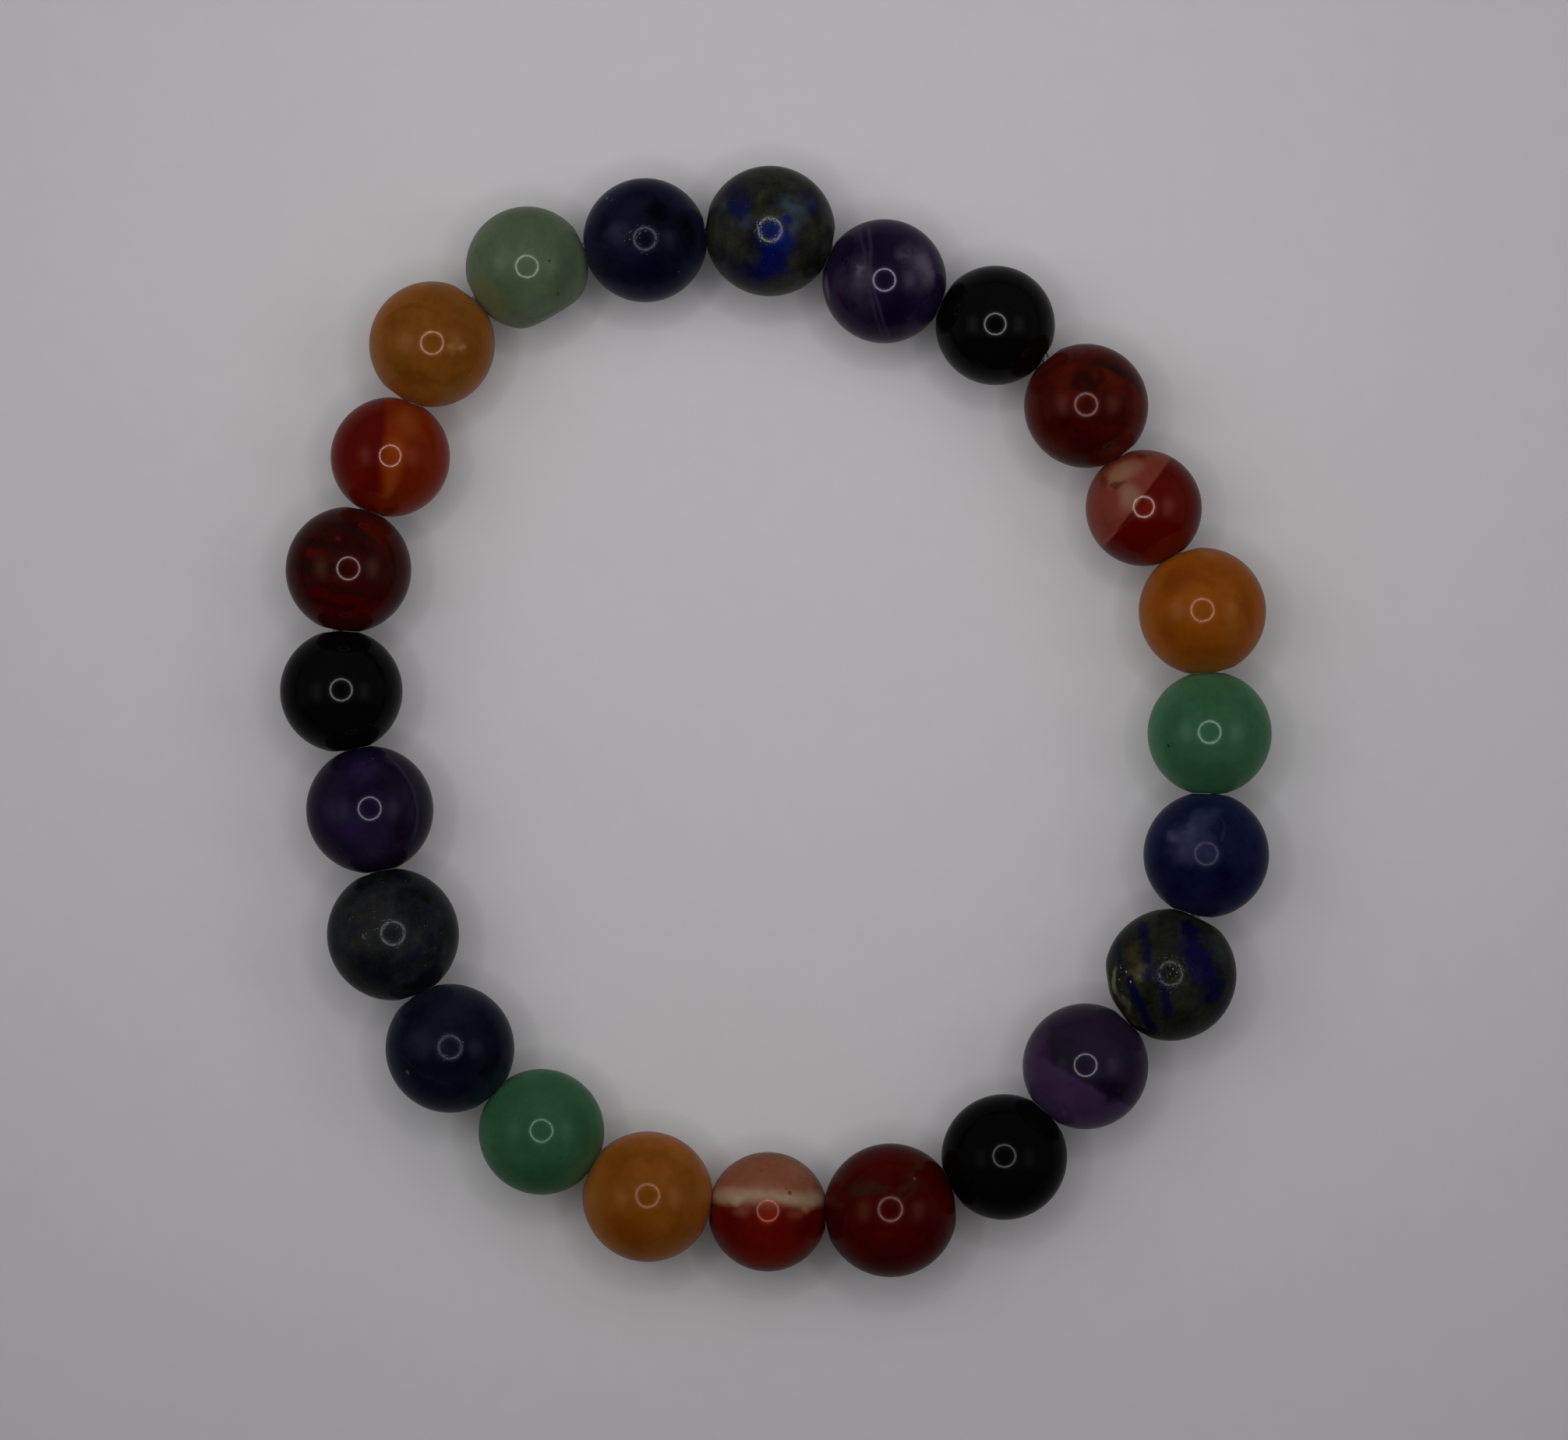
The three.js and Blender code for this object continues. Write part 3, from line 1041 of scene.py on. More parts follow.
            Vein(((-0.62, -0.06), (-0.5, -0.42), (-0.3, -0.78)), 0.13, (8, 11, 52), 0.95),
            Vein(((-0.18, 0.04), (-0.12, -0.2)), 0.11, (10, 13, 56), 0.85),
            Vein(((-0.12, -0.3), (-0.06, -0.55)), 0.11, (10, 13, 52), 0.8),
            Cloud((0.1, -0.72), 0.4, (17, 21, 16), 0.5, 0.9),
            Specks(14.0, 0.3, 0.35, (210, 206, 175), 0.9, (-0.7, 0.02), 0.34),
            Specks(20.0, 0.26, 0.3, (177, 181, 164), 0.85, (0.0, 0.02), 0.3),
            Cloud((0.5, 0.3, -0.7), 0.5, (10, 11, 60), 0.9, 0.4, 1.8, 80.0, Edge.BROKEN),
        ),
        Polish(0.175, 0.13, 0.12, 12.0, 12.0),
    ),
    # 12, amethyst
    Look(
        Body((32, 21, 40), (43, 31, 51), 1.5, 1.9, 0.15, 0.5, glow=0.4, lent=0.35),
        (
            Cloud((0.0, 0.75), 0.4, (41, 23, 45), 0.6, 1.0, 1.6),
            Layer((-0.5, -0.86, 0.0), 1.2, 1.0, (64, 44, 77), 0.95, 0.045),
            Cloud((-0.78, 0.25), 0.42, (63, 42, 74), 0.8, 1.0, 1.3, 80.0),
            Cloud((-0.44, 0.3), 0.3, (32, 24, 36), 0.8, 0.9, 1.8, 120.0, Edge.BROKEN),
            Cloud((0.4, -0.36), 0.28, (23, 9, 32), 0.85, 0.8, 2.0, 148.0, Edge.BROKEN),
            # Painted reflection of the light at the right side: a pale patch beside the crown
            Cloud((0.45, 0.05), 0.24, (64, 51, 73), 0.45, 1.0, 1.3, 90.0, Edge.CLEAN),
            Cloud((-0.38, -0.5), 0.34, (73, 52, 88), 0.6, 1.0),
            Cloud((0.4, -0.8), 0.3, (65, 47, 78), 0.6, 1.0, 1.5),
            Cloud((-0.33, -0.7), 0.1, (86, 70, 98), 0.6, 0.9, 1.3, 60.0, Edge.BROKEN),
        ),
        Polish(0.355, 0.1, 0.02, 1.6),
    ),
    # 13, black onyx
    onyx(0.15, 0.8),
    # 14, red jasper
    Look(
        Body((55, 1, 0), (78, 10, 2), 1.6, 1.8, 0.3, 0.6, glow=0.0, lent=0.52),
        (
            *painted_side_reflections((101, 45, 27), 0.35),
            Cloud((-0.2, 0.78), 0.5, (83, 8, 3), 0.6, 1.0, 1.5),
            Cloud((0.78, 0.1), 0.35, (79, 16, 8), 0.5, 1.0, 1.6, 90.0),
            Cloud((-0.42, 0.38), 0.22, (57, 32, 16), 0.75, 0.9, 2.4, 5.0, Edge.BROKEN),
            Vein(
                ((-0.72, 0.42), (-0.46, 0.38), (-0.19, 0.36), (0.05, 0.33)),
                0.06,
                (53, 28, 14),
                0.75,
                Edge.BROKEN,
            ),
            Vein(((-0.5, 0.28), (-0.25, 0.26)), 0.05, (55, 28, 13), 0.6),
            Vein(
                ((0.1, 0.25), (0.27, 0.42), (0.36, 0.56), (0.44, 0.76)),
                0.08,
                (52, 30, 16),
                0.9,
                Edge.BROKEN,
            ),
            Vein(((0.18, 0.18), (0.33, 0.34), (0.42, 0.5)), 0.05, (55, 28, 14), 0.75),
            Cloud((0.42, 0.66), 0.11, (57, 34, 19), 0.8, 0.8, 1.6, 80.0, Edge.BROKEN),
            Cloud((0.37, 0.52), 0.03, (122, 96, 60), 0.9, 0.5),
        ),
        Polish(0.34, 0.12, 0.03, 6.0),
    ),
    # 15, carnelian
    Look(
        Body((88, 4, 0), (106, 16, 4), 1.6, 1.8, 0.15, 0.5, glow=0.1, lent=0.65),
        (
            Cloud((0.0, -0.8), 0.5, (118, 24, 9), 0.8, 1.0, 1.8, 0.0),
            Cloud((-0.6, -0.12), 0.3, (71, 0, 0), 0.6, 1.0, 1.5, 10.0),
            Cloud((0.6, -0.22), 0.3, (71, 0, 0), 0.6, 1.0, 1.5, 170.0),
            Cloud((0.0, -0.02), 0.24, (137, 41, 19), 0.8, 1.0),
            Layer((0.0, 1.0, 0.0), 1.28, 0.95, (142, 85, 62), 1.0, 0.1),
            Cloud((0.5, 0.75), 0.5, (159, 107, 81), 0.5, 1.0),
            Cloud((-0.1, 0.48), 0.25, (155, 102, 79), 0.5, 1.0, 2.4, 0.0),
            Layer((0.03, 1.0, 0.0), 0.285, 0.115, (176, 146, 116), 0.9, 0.1),
            Cloud((0.02, 0.12), 0.2, (141, 56, 35), 0.85, 1.0, 1.8, 0.0),
            Cloud((-0.42, 0.08), 0.17, (141, 74, 53), 0.7, 1.0, 2.0, 0.0),
            Cloud((0.0, -0.04), 0.17, (131, 33, 12), 0.85, 0.9),
            Cloud((0.62, 0.12), 0.14, (168, 126, 98), 0.65, 1.0, 2.4, 174.0),
            Cloud((0.48, 0.01), 0.16, (137, 65, 46), 0.6, 1.0, 2.2, 0.0),
            Cloud((-0.5, 0.22), 0.12, (191, 165, 131), 0.6, 0.8, 2.4, 0.0),
            Cloud((0.36, 0.37), 0.055, (123, 60, 36), 0.9, 0.6),
            Cloud((0.3, 0.43), 0.03, (136, 76, 49), 0.7, 0.5),
            Cloud((-0.09, 0.71), 0.035, (116, 58, 38), 0.85, 0.6),
            Cloud((0.02, 0.8), 0.03, (121, 64, 42), 0.8, 0.6),
            Vein(((0.5, 0.62), (0.7, 0.55)), 0.03, (130, 68, 51), 0.5),
        ),
        Polish(0.42, 0.11, 0.03, 3.0),
    ),
    # 16, yellow aventurine
    Look(
        Body((122, 63, 0), (146, 85, 29), 1.6, 1.8, 0.3, 0.35, glow=0.85, lent=0.6),
        (
            *painted_side_reflections((161, 103, 53), 0.3),
            Cloud((-0.35, -0.5), 0.55, (120, 57, 0), 0.6, 1.0, 1.5, 20.0),
            Cloud((-0.8, 0.1), 0.35, (142, 92, 31), 0.6, 1.0, 1.6, 90.0),
            Cloud((0.8, 0.15), 0.3, (137, 91, 41), 0.5, 1.0, 1.4, 90.0),
            Vein(((-0.4, 0.7), (0.0, 0.62), (0.3, 0.75)), 0.13, (124, 65, 10), 0.35),
            Specks(20.0, 0.18, 0.12, (114, 59, 19), 0.4),
        ),
        Polish(0.385, 0.13, 0.03, 3.5),
    ),
    # 17 to 24: the third repeat
    # 17, green aventurine
    mica_green(
        (41, 82, 52),
        (59, 102, 70),
        *painted_side_reflections((80, 121, 94), 0.3),
        Cloud((0.0, -0.7), 0.5, (39, 81, 49), 0.6, 1.0, 1.5),
        Cloud((0.32, -0.37), 0.04, (30, 61, 34), 0.8, 0.7),
        Cloud((0.16, -0.74), 0.04, (28, 59, 34), 0.8, 0.7),
        Cloud((0.55, -0.45), 0.03, (32, 65, 39), 0.7, 0.7),
        Cloud((-0.55, 0.6), 0.12, (39, 79, 49), 0.4, 1.0),
        glow=0.5,
        polish=Polish(0.345, 0.12, 0.04, 7.0),
    ),
    # 18, sodalite
    Look(
        Body((5, 6, 25), (23, 26, 39), 1.6, 2.2, 0.35, 0.8, glow=0.45, lent=0.35),
        (
            Cloud((-0.5, 0.15), 0.36, (40, 40, 57), 0.65, 1.0, 1.3, 40.0, Edge.BROKEN),
            Cloud((0.0, 0.05), 0.3, (30, 33, 47), 0.6, 1.0),
            Cloud((0.42, 0.04), 0.2, (35, 36, 49), 0.6, 1.0),
            Cloud((0.1, 0.65), 0.35, (28, 32, 49), 0.6, 1.0, 1.5, 0.0, Edge.BROKEN),
            Cloud((-0.35, -0.45), 0.25, (16, 18, 36), 0.5, 1.0, 1.6, 20.0, Edge.BROKEN),
            Cloud((0.2, -0.6), 0.35, (1, 2, 23), 0.6, 1.0),
            Cloud((-0.6, 0.52), 0.24, (1, 1, 12), 0.75, 0.9, 1.4, 45.0, Edge.BROKEN),
            Cloud((0.66, -0.28), 0.28, (1, 2, 10), 0.8, 0.9, 1.6, 70.0, Edge.BROKEN),
            Cloud((0.66, 0.36), 0.24, (5, 6, 18), 0.7, 0.9, 1.5, 120.0, Edge.BROKEN),
            Cloud((-0.64, -0.36), 0.05, (86, 82, 72), 0.85, 0.7),
            Vein(((-0.7, -0.1), (-0.4, -0.4), (0.0, -0.5)), 0.04, (23, 27, 45), 0.5),
        ),
        Polish(0.195, 0.14, 0.08, 8.0, 4.0),
    ),
    # 19, lapis lazuli
    Look(
        Body((16, 20, 19), (41, 43, 45), 2.4, 2.4, 0.7, 1.2, glow=0.0),
        (
            Cloud((-0.35, 0.25), 0.5, (49, 47, 48), 0.5, 1.0, 1.5, 0.0, Edge.BROKEN),
            Cloud((-0.5, -0.12), 0.36, (50, 50, 46), 0.45, 1.0, 1.3, 0.0, Edge.BROKEN),
            Cloud((-0.66, 0.3), 0.1, (13, 21, 54), 0.6, 0.9, 1.3, 60.0, Edge.BROKEN),
            Cloud((-0.55, 0.06), 0.1, (17, 23, 54), 0.6, 0.9, 1.2, 70.0, Edge.BROKEN),
            Cloud((-0.38, -0.36), 0.16, (8, 17, 51), 0.6, 0.9, 1.5, 20.0, Edge.BROKEN),
            Cloud((-0.2, 0.5), 0.1, (13, 19, 48), 0.6, 0.9, 1.6, 10.0, Edge.BROKEN),
            Cloud((0.12, 0.84), 0.12, (15, 17, 46), 0.6, 0.9, 1.6, 10.0, Edge.BROKEN),
            Cloud((0.58, 0.36), 0.14, (11, 17, 51), 0.6, 0.9, 1.3, 0.0, Edge.BROKEN),
            Cloud((0.6, -0.06), 0.14, (8, 14, 46), 0.6, 0.9, 1.4, 80.0, Edge.BROKEN),
            Cloud((0.36, -0.28), 0.16, (5, 12, 46), 0.6, 0.9, 1.5, 30.0, Edge.BROKEN),
            Cloud((0.5, -0.66), 0.3, (8, 11, 33), 0.75, 0.8, 1.8, 40.0, Edge.BROKEN),
            Cloud((-0.2, -0.62), 0.32, (11, 13, 28), 0.7, 0.8, 1.6, 160.0, Edge.BROKEN),
            Cloud((0.3, 0.6), 0.3, (12, 14, 28), 0.7, 0.8, 1.8, 20.0, Edge.BROKEN),
            Cloud((-0.8, -0.2), 0.2, (11, 14, 30), 0.3, 0.8, 1.6, 80.0, Edge.BROKEN),
            Cloud((-0.36, 0.02), 0.05, (136, 127, 111), 0.6, 0.8, 1.0, 0.0, Edge.BROKEN),
            Specks(24.0, 0.24, 0.16, (180, 161, 117), 0.9, (-0.42, 0.1), 0.42),
            Specks(24.0, 0.2, 0.04, (158, 140, 102), 0.8),
            Cloud((0.5, -0.46), 0.03, (98, 64, 48), 0.9),
            Cloud((0.3, 0.6, -0.7), 0.5, (8, 14, 48), 0.8, 0.5, 1.3, 40.0, Edge.BROKEN),
        ),
        Polish(0.225, 0.13, 0.08, 6.0, 6.0),
    ),
    # 20, amethyst
    Look(
        Body((21, 11, 35), (38, 27, 54), 1.6, 2.6, 0.2, 0.7, glow=0.0, lent=0.35),
        (
            Cloud((-0.1, 0.66), 0.34, (47, 31, 68), 0.75, 1.0, 1.8, 90.0, Edge.BROKEN),
            Cloud((-0.3, -0.3), 0.4, (44, 27, 64), 0.6, 1.0, 1.4, 60.0),
            Cloud((-0.5, 0.0), 0.34, (47, 41, 62), 0.55, 1.0),
            # Painted reflection of the light at the right side: a pale patch beside the crown
            Cloud((0.4, 0.04), 0.22, (47, 41, 58), 0.45, 1.0, 1.3, 90.0, Edge.CLEAN),
            Cloud((0.15, -0.6), 0.36, (44, 33, 58), 0.7, 1.0, 1.4, 30.0),
            Cloud((0.36, 0.6), 0.3, (16, 11, 21), 0.75, 0.9, 1.8, 120.0, Edge.BROKEN),
            Cloud((-0.62, 0.55), 0.3, (18, 13, 27), 0.6, 1.0, 1.5, 60.0),
            Cloud((0.52, -0.25), 0.28, (14, 8, 20), 0.75, 1.0, 2.0, 95.0, Edge.BROKEN),
            Layer((0.95, 0.3, 0.0), 1.2, 0.42, (38, 38, 46), 0.7, 0.05, Edge.CLEAN),
            Vein(
                ((0.3, 0.84), (0.54, 0.59), (0.7, 0.32), (0.77, 0.0), (0.7, -0.45)),
                0.055,
                (53, 53, 62),
                0.6,
                Edge.CLEAN,
            ),
            Cloud((0.08, 0.82), 0.025, (79, 78, 83), 0.7, 0.6),
            Cloud((-0.46, -0.6), 0.025, (70, 69, 75), 0.7, 0.6),
        ),
        Polish(0.36, 0.1, 0.03, 2.5),
    ),
    # 21, black onyx
    onyx(0.26, 0.7),
    # 22, red jasper
    Look(
        Body((42, 0, 0), (58, 16, 6), 1.8, 2.2, 0.3, 0.7, glow=0.35, lent=0.38),
        (
            Cloud((0.45, 0.6), 0.36, (86, 16, 4), 0.65, 1.0, 1.4, 130.0, Edge.BROKEN),
            Cloud((-0.2, -0.5), 0.5, (75, 5, 0), 0.85, 0.8, 2.2, 170.0, Edge.BROKEN),
            Cloud((0.35, -0.62), 0.35, (73, 4, 0), 0.7, 0.8, 2.0, 10.0, Edge.BROKEN),
            Cloud((-0.55, 0.24), 0.22, (84, 13, 2), 0.75, 0.8, 2.6, 168.0, Edge.BROKEN),
            Cloud((0.1, 0.08), 0.3, (73, 8, 1), 0.5, 1.0),
            Vein(((-0.95, 0.12), (-0.5, 0.05), (-0.1, 0.0)), 0.12, (33, 9, 5), 0.75),
            Vein(
                ((-0.95, -0.14), (-0.4, -0.26), (0.2, -0.4), (0.55, -0.42)),
                0.1,
                (28, 9, 6),
                0.6,
                Edge.BROKEN,
            ),
            Vein(((-0.8, 0.45), (-0.4, 0.4), (0.0, 0.32)), 0.12, (33, 9, 5), 0.7),
            Vein(((-0.5, 0.7), (0.0, 0.68), (0.4, 0.5)), 0.12, (32, 11, 6), 0.6),
            Vein(((-0.9, -0.4), (-0.4, -0.5), (0.1, -0.6)), 0.09, (42, 5, 2), 0.65),
            *painted_side_reflections((98, 56, 35), 0.3),
            Cloud((-0.14, 0.49), 0.07, (111, 19, 4), 0.8, 0.8),
            Cloud((0.8, 0.0), 0.3, (46, 22, 13), 0.6, 1.0, 1.8, 90.0),
        ),
        Polish(0.46, 0.1, 0.02, 1.6),
    ),
    # 23, carnelian
    Look(
        Body((112, 24, 0), (128, 39, 4), 1.4, 1.6, 0.12, 0.4, glow=0.6),
        (
            Cloud((0.33, 0.62), 0.44, (142, 64, 17), 0.9, 0.9, 1.4, 70.0),
            Cloud((0.12, 0.1), 0.3, (154, 66, 13), 0.85, 0.9, 1.6, 95.0),
            Cloud((0.92, 0.0), 0.3, (117, 20, 4), 0.8, 1.0, 1.8, 90.0),
            Cloud((0.62, 0.5), 0.22, (123, 30, 2), 0.6, 1.0, 1.4, 120.0),
            Layer((-1.0, 0.1, 0.0), 1.12, 1.0, (94, 7, 0), 1.0, 0.07),
            Cloud((-0.55, -0.42), 0.35, (117, 19, 2), 0.7, 1.0, 1.4, 60.0),
            Cloud((-0.22, -0.74), 0.3, (125, 30, 2), 0.7, 1.0, 1.3, 150.0),
            Cloud((0.06, -0.16), 0.26, (146, 61, 15), 0.85, 1.0, 2.0, 96.0),
            Cloud((0.03, -0.42), 0.18, (149, 70, 25), 0.7, 1.0, 2.0, 84.0),
            Cloud((-0.02, -0.6), 0.15, (152, 76, 32), 0.5, 1.0, 1.9, 76.0),
            Cloud((-0.02, -0.9), 0.16, (82, 5, 0), 0.8, 0.9, 1.3, 0.0),
            Cloud((-0.14, 0.92), 0.16, (82, 8, 0), 0.7, 0.9, 1.3, 0.0),
            # Painted reflections of the lights at both sides: pale patches beside the crown
            Cloud((-0.43, 0.04), 0.22, (119, 45, 23), 0.4, 1.0, 1.3, 90.0, Edge.CLEAN),
            Cloud((0.43, 0.04), 0.22, (136, 57, 21), 0.3, 1.0, 1.3, 90.0, Edge.CLEAN),
        ),
        Polish(0.63, 0.1, 0.02, 2.0),
    ),
    # 24, yellow aventurine
    Look(
        Body((120, 67, 10), (143, 86, 30), 1.7, 2.0, 0.3, 0.5, glow=0.8, lent=0.6),
        (
            *painted_side_reflections((162, 108, 56), 0.3),
            # Painted highlight: pale patches right of the crown where a light at the side shows in
            # the polish
            Cloud((0.36, -0.1), 0.14, (167, 115, 59), 0.7, 0.9, 1.3, 10.0, Edge.BROKEN),
            Cloud((0.49, -0.12), 0.1, (173, 124, 68), 0.7, 0.8, 1.3, 10.0, Edge.BROKEN),
            Cloud((-0.3, -0.55), 0.3, (118, 62, 10), 0.6, 0.9, 1.6, 0.0, Edge.BROKEN),
            Cloud((0.45, -0.6), 0.25, (120, 73, 28), 0.6, 0.9, 1.4, 30.0, Edge.BROKEN),
            Vein(((-0.7, 0.4), (-0.3, 0.6), (0.1, 0.5)), 0.07, (120, 65, 14), 0.5),
            Vein(((0.3, 0.4), (0.55, 0.3), (0.75, 0.1)), 0.05, (122, 69, 24), 0.5),
            Vein(((0.6, -0.45), (0.66, -0.3)), 0.03, (104, 54, 14), 0.6),
            Vein(((-0.5, -0.5), (-0.2, -0.45), (0.1, -0.6)), 0.06, (113, 60, 12), 0.5),
        ),
        Polish(0.62, 0.12, 0.04, 7.0),
    ),
)


class Finisher:
    """Makes the material of each piece."""

    # Ripples and pits are given in millionths of a metre
    RIPPLE_UNIT = 1e-6
    MOTTLE_SCALE = 7.0
    # Painted shade in what the stones reflect: to glossy rays the paper is painted darker, keeping
    # this share of its colour seen from far away, and all of it within the reach, in metres
    GLARE_FAR = 0.1
    GLARE_REACH = 0.00135
    # Painted light: the paper is painted whitest behind the beads, as a pool of light, and greyer
    # away from there
    PAPER_BRIGHTEST = (0.0, 0.027, 0.0)
    PAPER_REACH = 0.15
    PAPER_EDGE = (200, 200, 200)

    def __init__(self) -> None:
        """Builds the shared effects."""
        self.effects = Effects()

    def _start(self, name: str) -> tuple[bpy.types.Material, NodeBoard, bpy.types.Node]:
        """Starts a material with a shader in it.

        Args:
            name: The material's name.

        Returns:
            The material, its board and its Principled BSDF node.
        """
        material = bpy.data.materials.new(name)
        material.use_nodes = True
        board = NodeBoard(material.node_tree)
        shader = board.add("ShaderNodeBsdfPrincipled")
        board.feed(board.add("ShaderNodeOutputMaterial"), Surface=shader.outputs[0])
        return material, board, shader

    def stone(self, name: str, look: Look, centre: Vector, radius: float) -> bpy.types.Material:
        """Makes one bead's finish.

        Args:
            name: The material's name.
            look: The bead's colours, marks and polish.
            centre: The bead's middle, in metres.
            radius: The bead's radius, in metres.

        Returns:
            The material. Its marks are placed in radii from the middle of the bead.
        """
        material, board, shader = self._start(name)
        effects, body, polish = self.effects, look.body, look.polish
        space = board.add("ShaderNodeTexCoord")
        unit = board.add("ShaderNodeMapping", vector_type="TEXTURE")
        board.feed(
            unit,
            Vector=space.outputs["Object"],
            Location=centre,
            Scale=(radius, radius, radius),
        )
        place = unit.outputs[0]
        edges = {Edge.CLEAN: place}
        for edge in (Edge.WAVY, Edge.BROKEN):
            scale, amount = edge.value
            edges[edge] = board.effect(effects.ragged, Vector=place, Scale=scale, Amount=amount)

        # Noise is read at the bead's own place on the table, so that no two beads repeat it
        strewn = board.vector("ADD", place, centre / MM).outputs[0]
        colour = board.effect(
            effects.clouds,
            Vector=strewn,
            Scale=body.scale,
            Contrast=body.contrast,
            Grain=body.grain,
            Dark=linear(body.dark),
            Light=linear(body.light),
        )
        for mark in look.marks:
            mask = mark.mask(board, effects, edges[mark.edge])
            factor = board.math("MULTIPLY", mask, mark.strength)
            colour = board.mix(factor, colour, linear(mark.colour))
        colour = board.effect(
            effects.mottle,
            Vector=strewn,
            Scale=self.MOTTLE_SCALE,
            Amount=body.mottle,
            Color=colour,
        )
        # Painted light: the flank is painted paler, standing in for light that passes through the
        # stone
        colour = board.effect(
            effects.flank, Vector=place, Gain=body.glow, Tint=body.tint, Color=colour
        )

        gloss = board.effect(
            effects.gloss, Vector=strewn, Base=polish.roughness, Spread=polish.drift
        )
        surface = board.effect(
            effects.polish, Vector=strewn, Ripple=polish.ripple, Pits=polish.pits
        )
        bump = board.add("ShaderNodeBump")
        board.feed(bump, Height=surface, Distance=self.RIPPLE_UNIT, Strength=1.0)
        board.feed(
            shader,
            Base_Color=colour,
            Roughness=gloss,
            Normal=bump.outputs[0],
            Specular_IOR_Level=polish.shine,
            Specular_Tint=body.sheen,
        )
        return material

    def elastic(self) -> bpy.types.Material:
        """Makes the finish of the clear elastic thread.

        Returns:
            The material.
        """
        material, board, shader = self._start("clear_elastic")
        place = board.add("ShaderNodeTexCoord").outputs["Object"]
        clouds = board.effect(
            self.effects.clouds,
            Vector=place,
            Scale=2200.0,
            Contrast=3.0,
            Grain=0.3,
            Dark=linear((96, 98, 104)),
            Light=linear((236, 238, 242)),
        )
        gloss = board.effect(self.effects.gloss, Vector=place, Base=0.2, Spread=0.1)
        board.feed(shader, Base_Color=clouds, Roughness=gloss, Specular_IOR_Level=0.6)
        return material

    def paper(self) -> bpy.types.Material:
        """Makes the finish of the pale table, with a pool of light painted on it, and painted
        darker where the stones reflect it.

        Returns:
            The material.
        """
        material, board, shader = self._start("pale_paper")
        place = board.add("ShaderNodeTexCoord").outputs["Object"]
        clouds = board.effect(
            self.effects.clouds,
            Vector=place,
            Scale=60.0,
            Contrast=0.6,
            Grain=0.6,
            Dark=linear((243, 240, 243)),
            Light=linear((249, 246, 249)),
        )
        # Painted pool of light: the paper's colour fades to grey away from its brightest place
        away = board.vector("DISTANCE", place, self.PAPER_BRIGHTEST)
        painted_light_pool = board.fade(away.outputs["Value"], 0.0, self.PAPER_REACH)
        shaded = board.mix(painted_light_pool, linear(self.PAPER_EDGE), WHITE)
        paper = board.vector("MULTIPLY", clouds, shaded).outputs[0]
        # Painted shade: glossy rays see the paper darker, more so the farther it is
        rays = board.add("ShaderNodeLightPath")
        near = board.math("DIVIDE", self.GLARE_REACH, rays.outputs["Ray Length"])
        kept = board.math("MINIMUM", board.math("ADD", near, self.GLARE_FAR), 1.0)
        cut = board.math("SUBTRACT", 1.0, kept)
        share = board.math("MULTIPLY", rays.outputs["Is Glossy Ray"], cut)
        paper_painted_dark_in_reflections = board.mix(share, paper, BLACK)
        board.feed(shader, Base_Color=paper_painted_dark_in_reflections, Roughness=0.8, Specular_IOR_Level=0.0)
        return material


# ---------------------------------------------------------------------------------------------
# The beads and their string
# ---------------------------------------------------------------------------------------------


@dataclass(frozen=True)
class Cut:
    """A flat that is ground or chipped: which way it faces, and how far it is from the middle."""

    facing: Vector
    distance: float


@dataclass(frozen=True)
class Joint:
    """Where two neighbours face each other, as seen from the bead before it."""

    normal: Vector
    before: float
    after: float
    thread: Vector


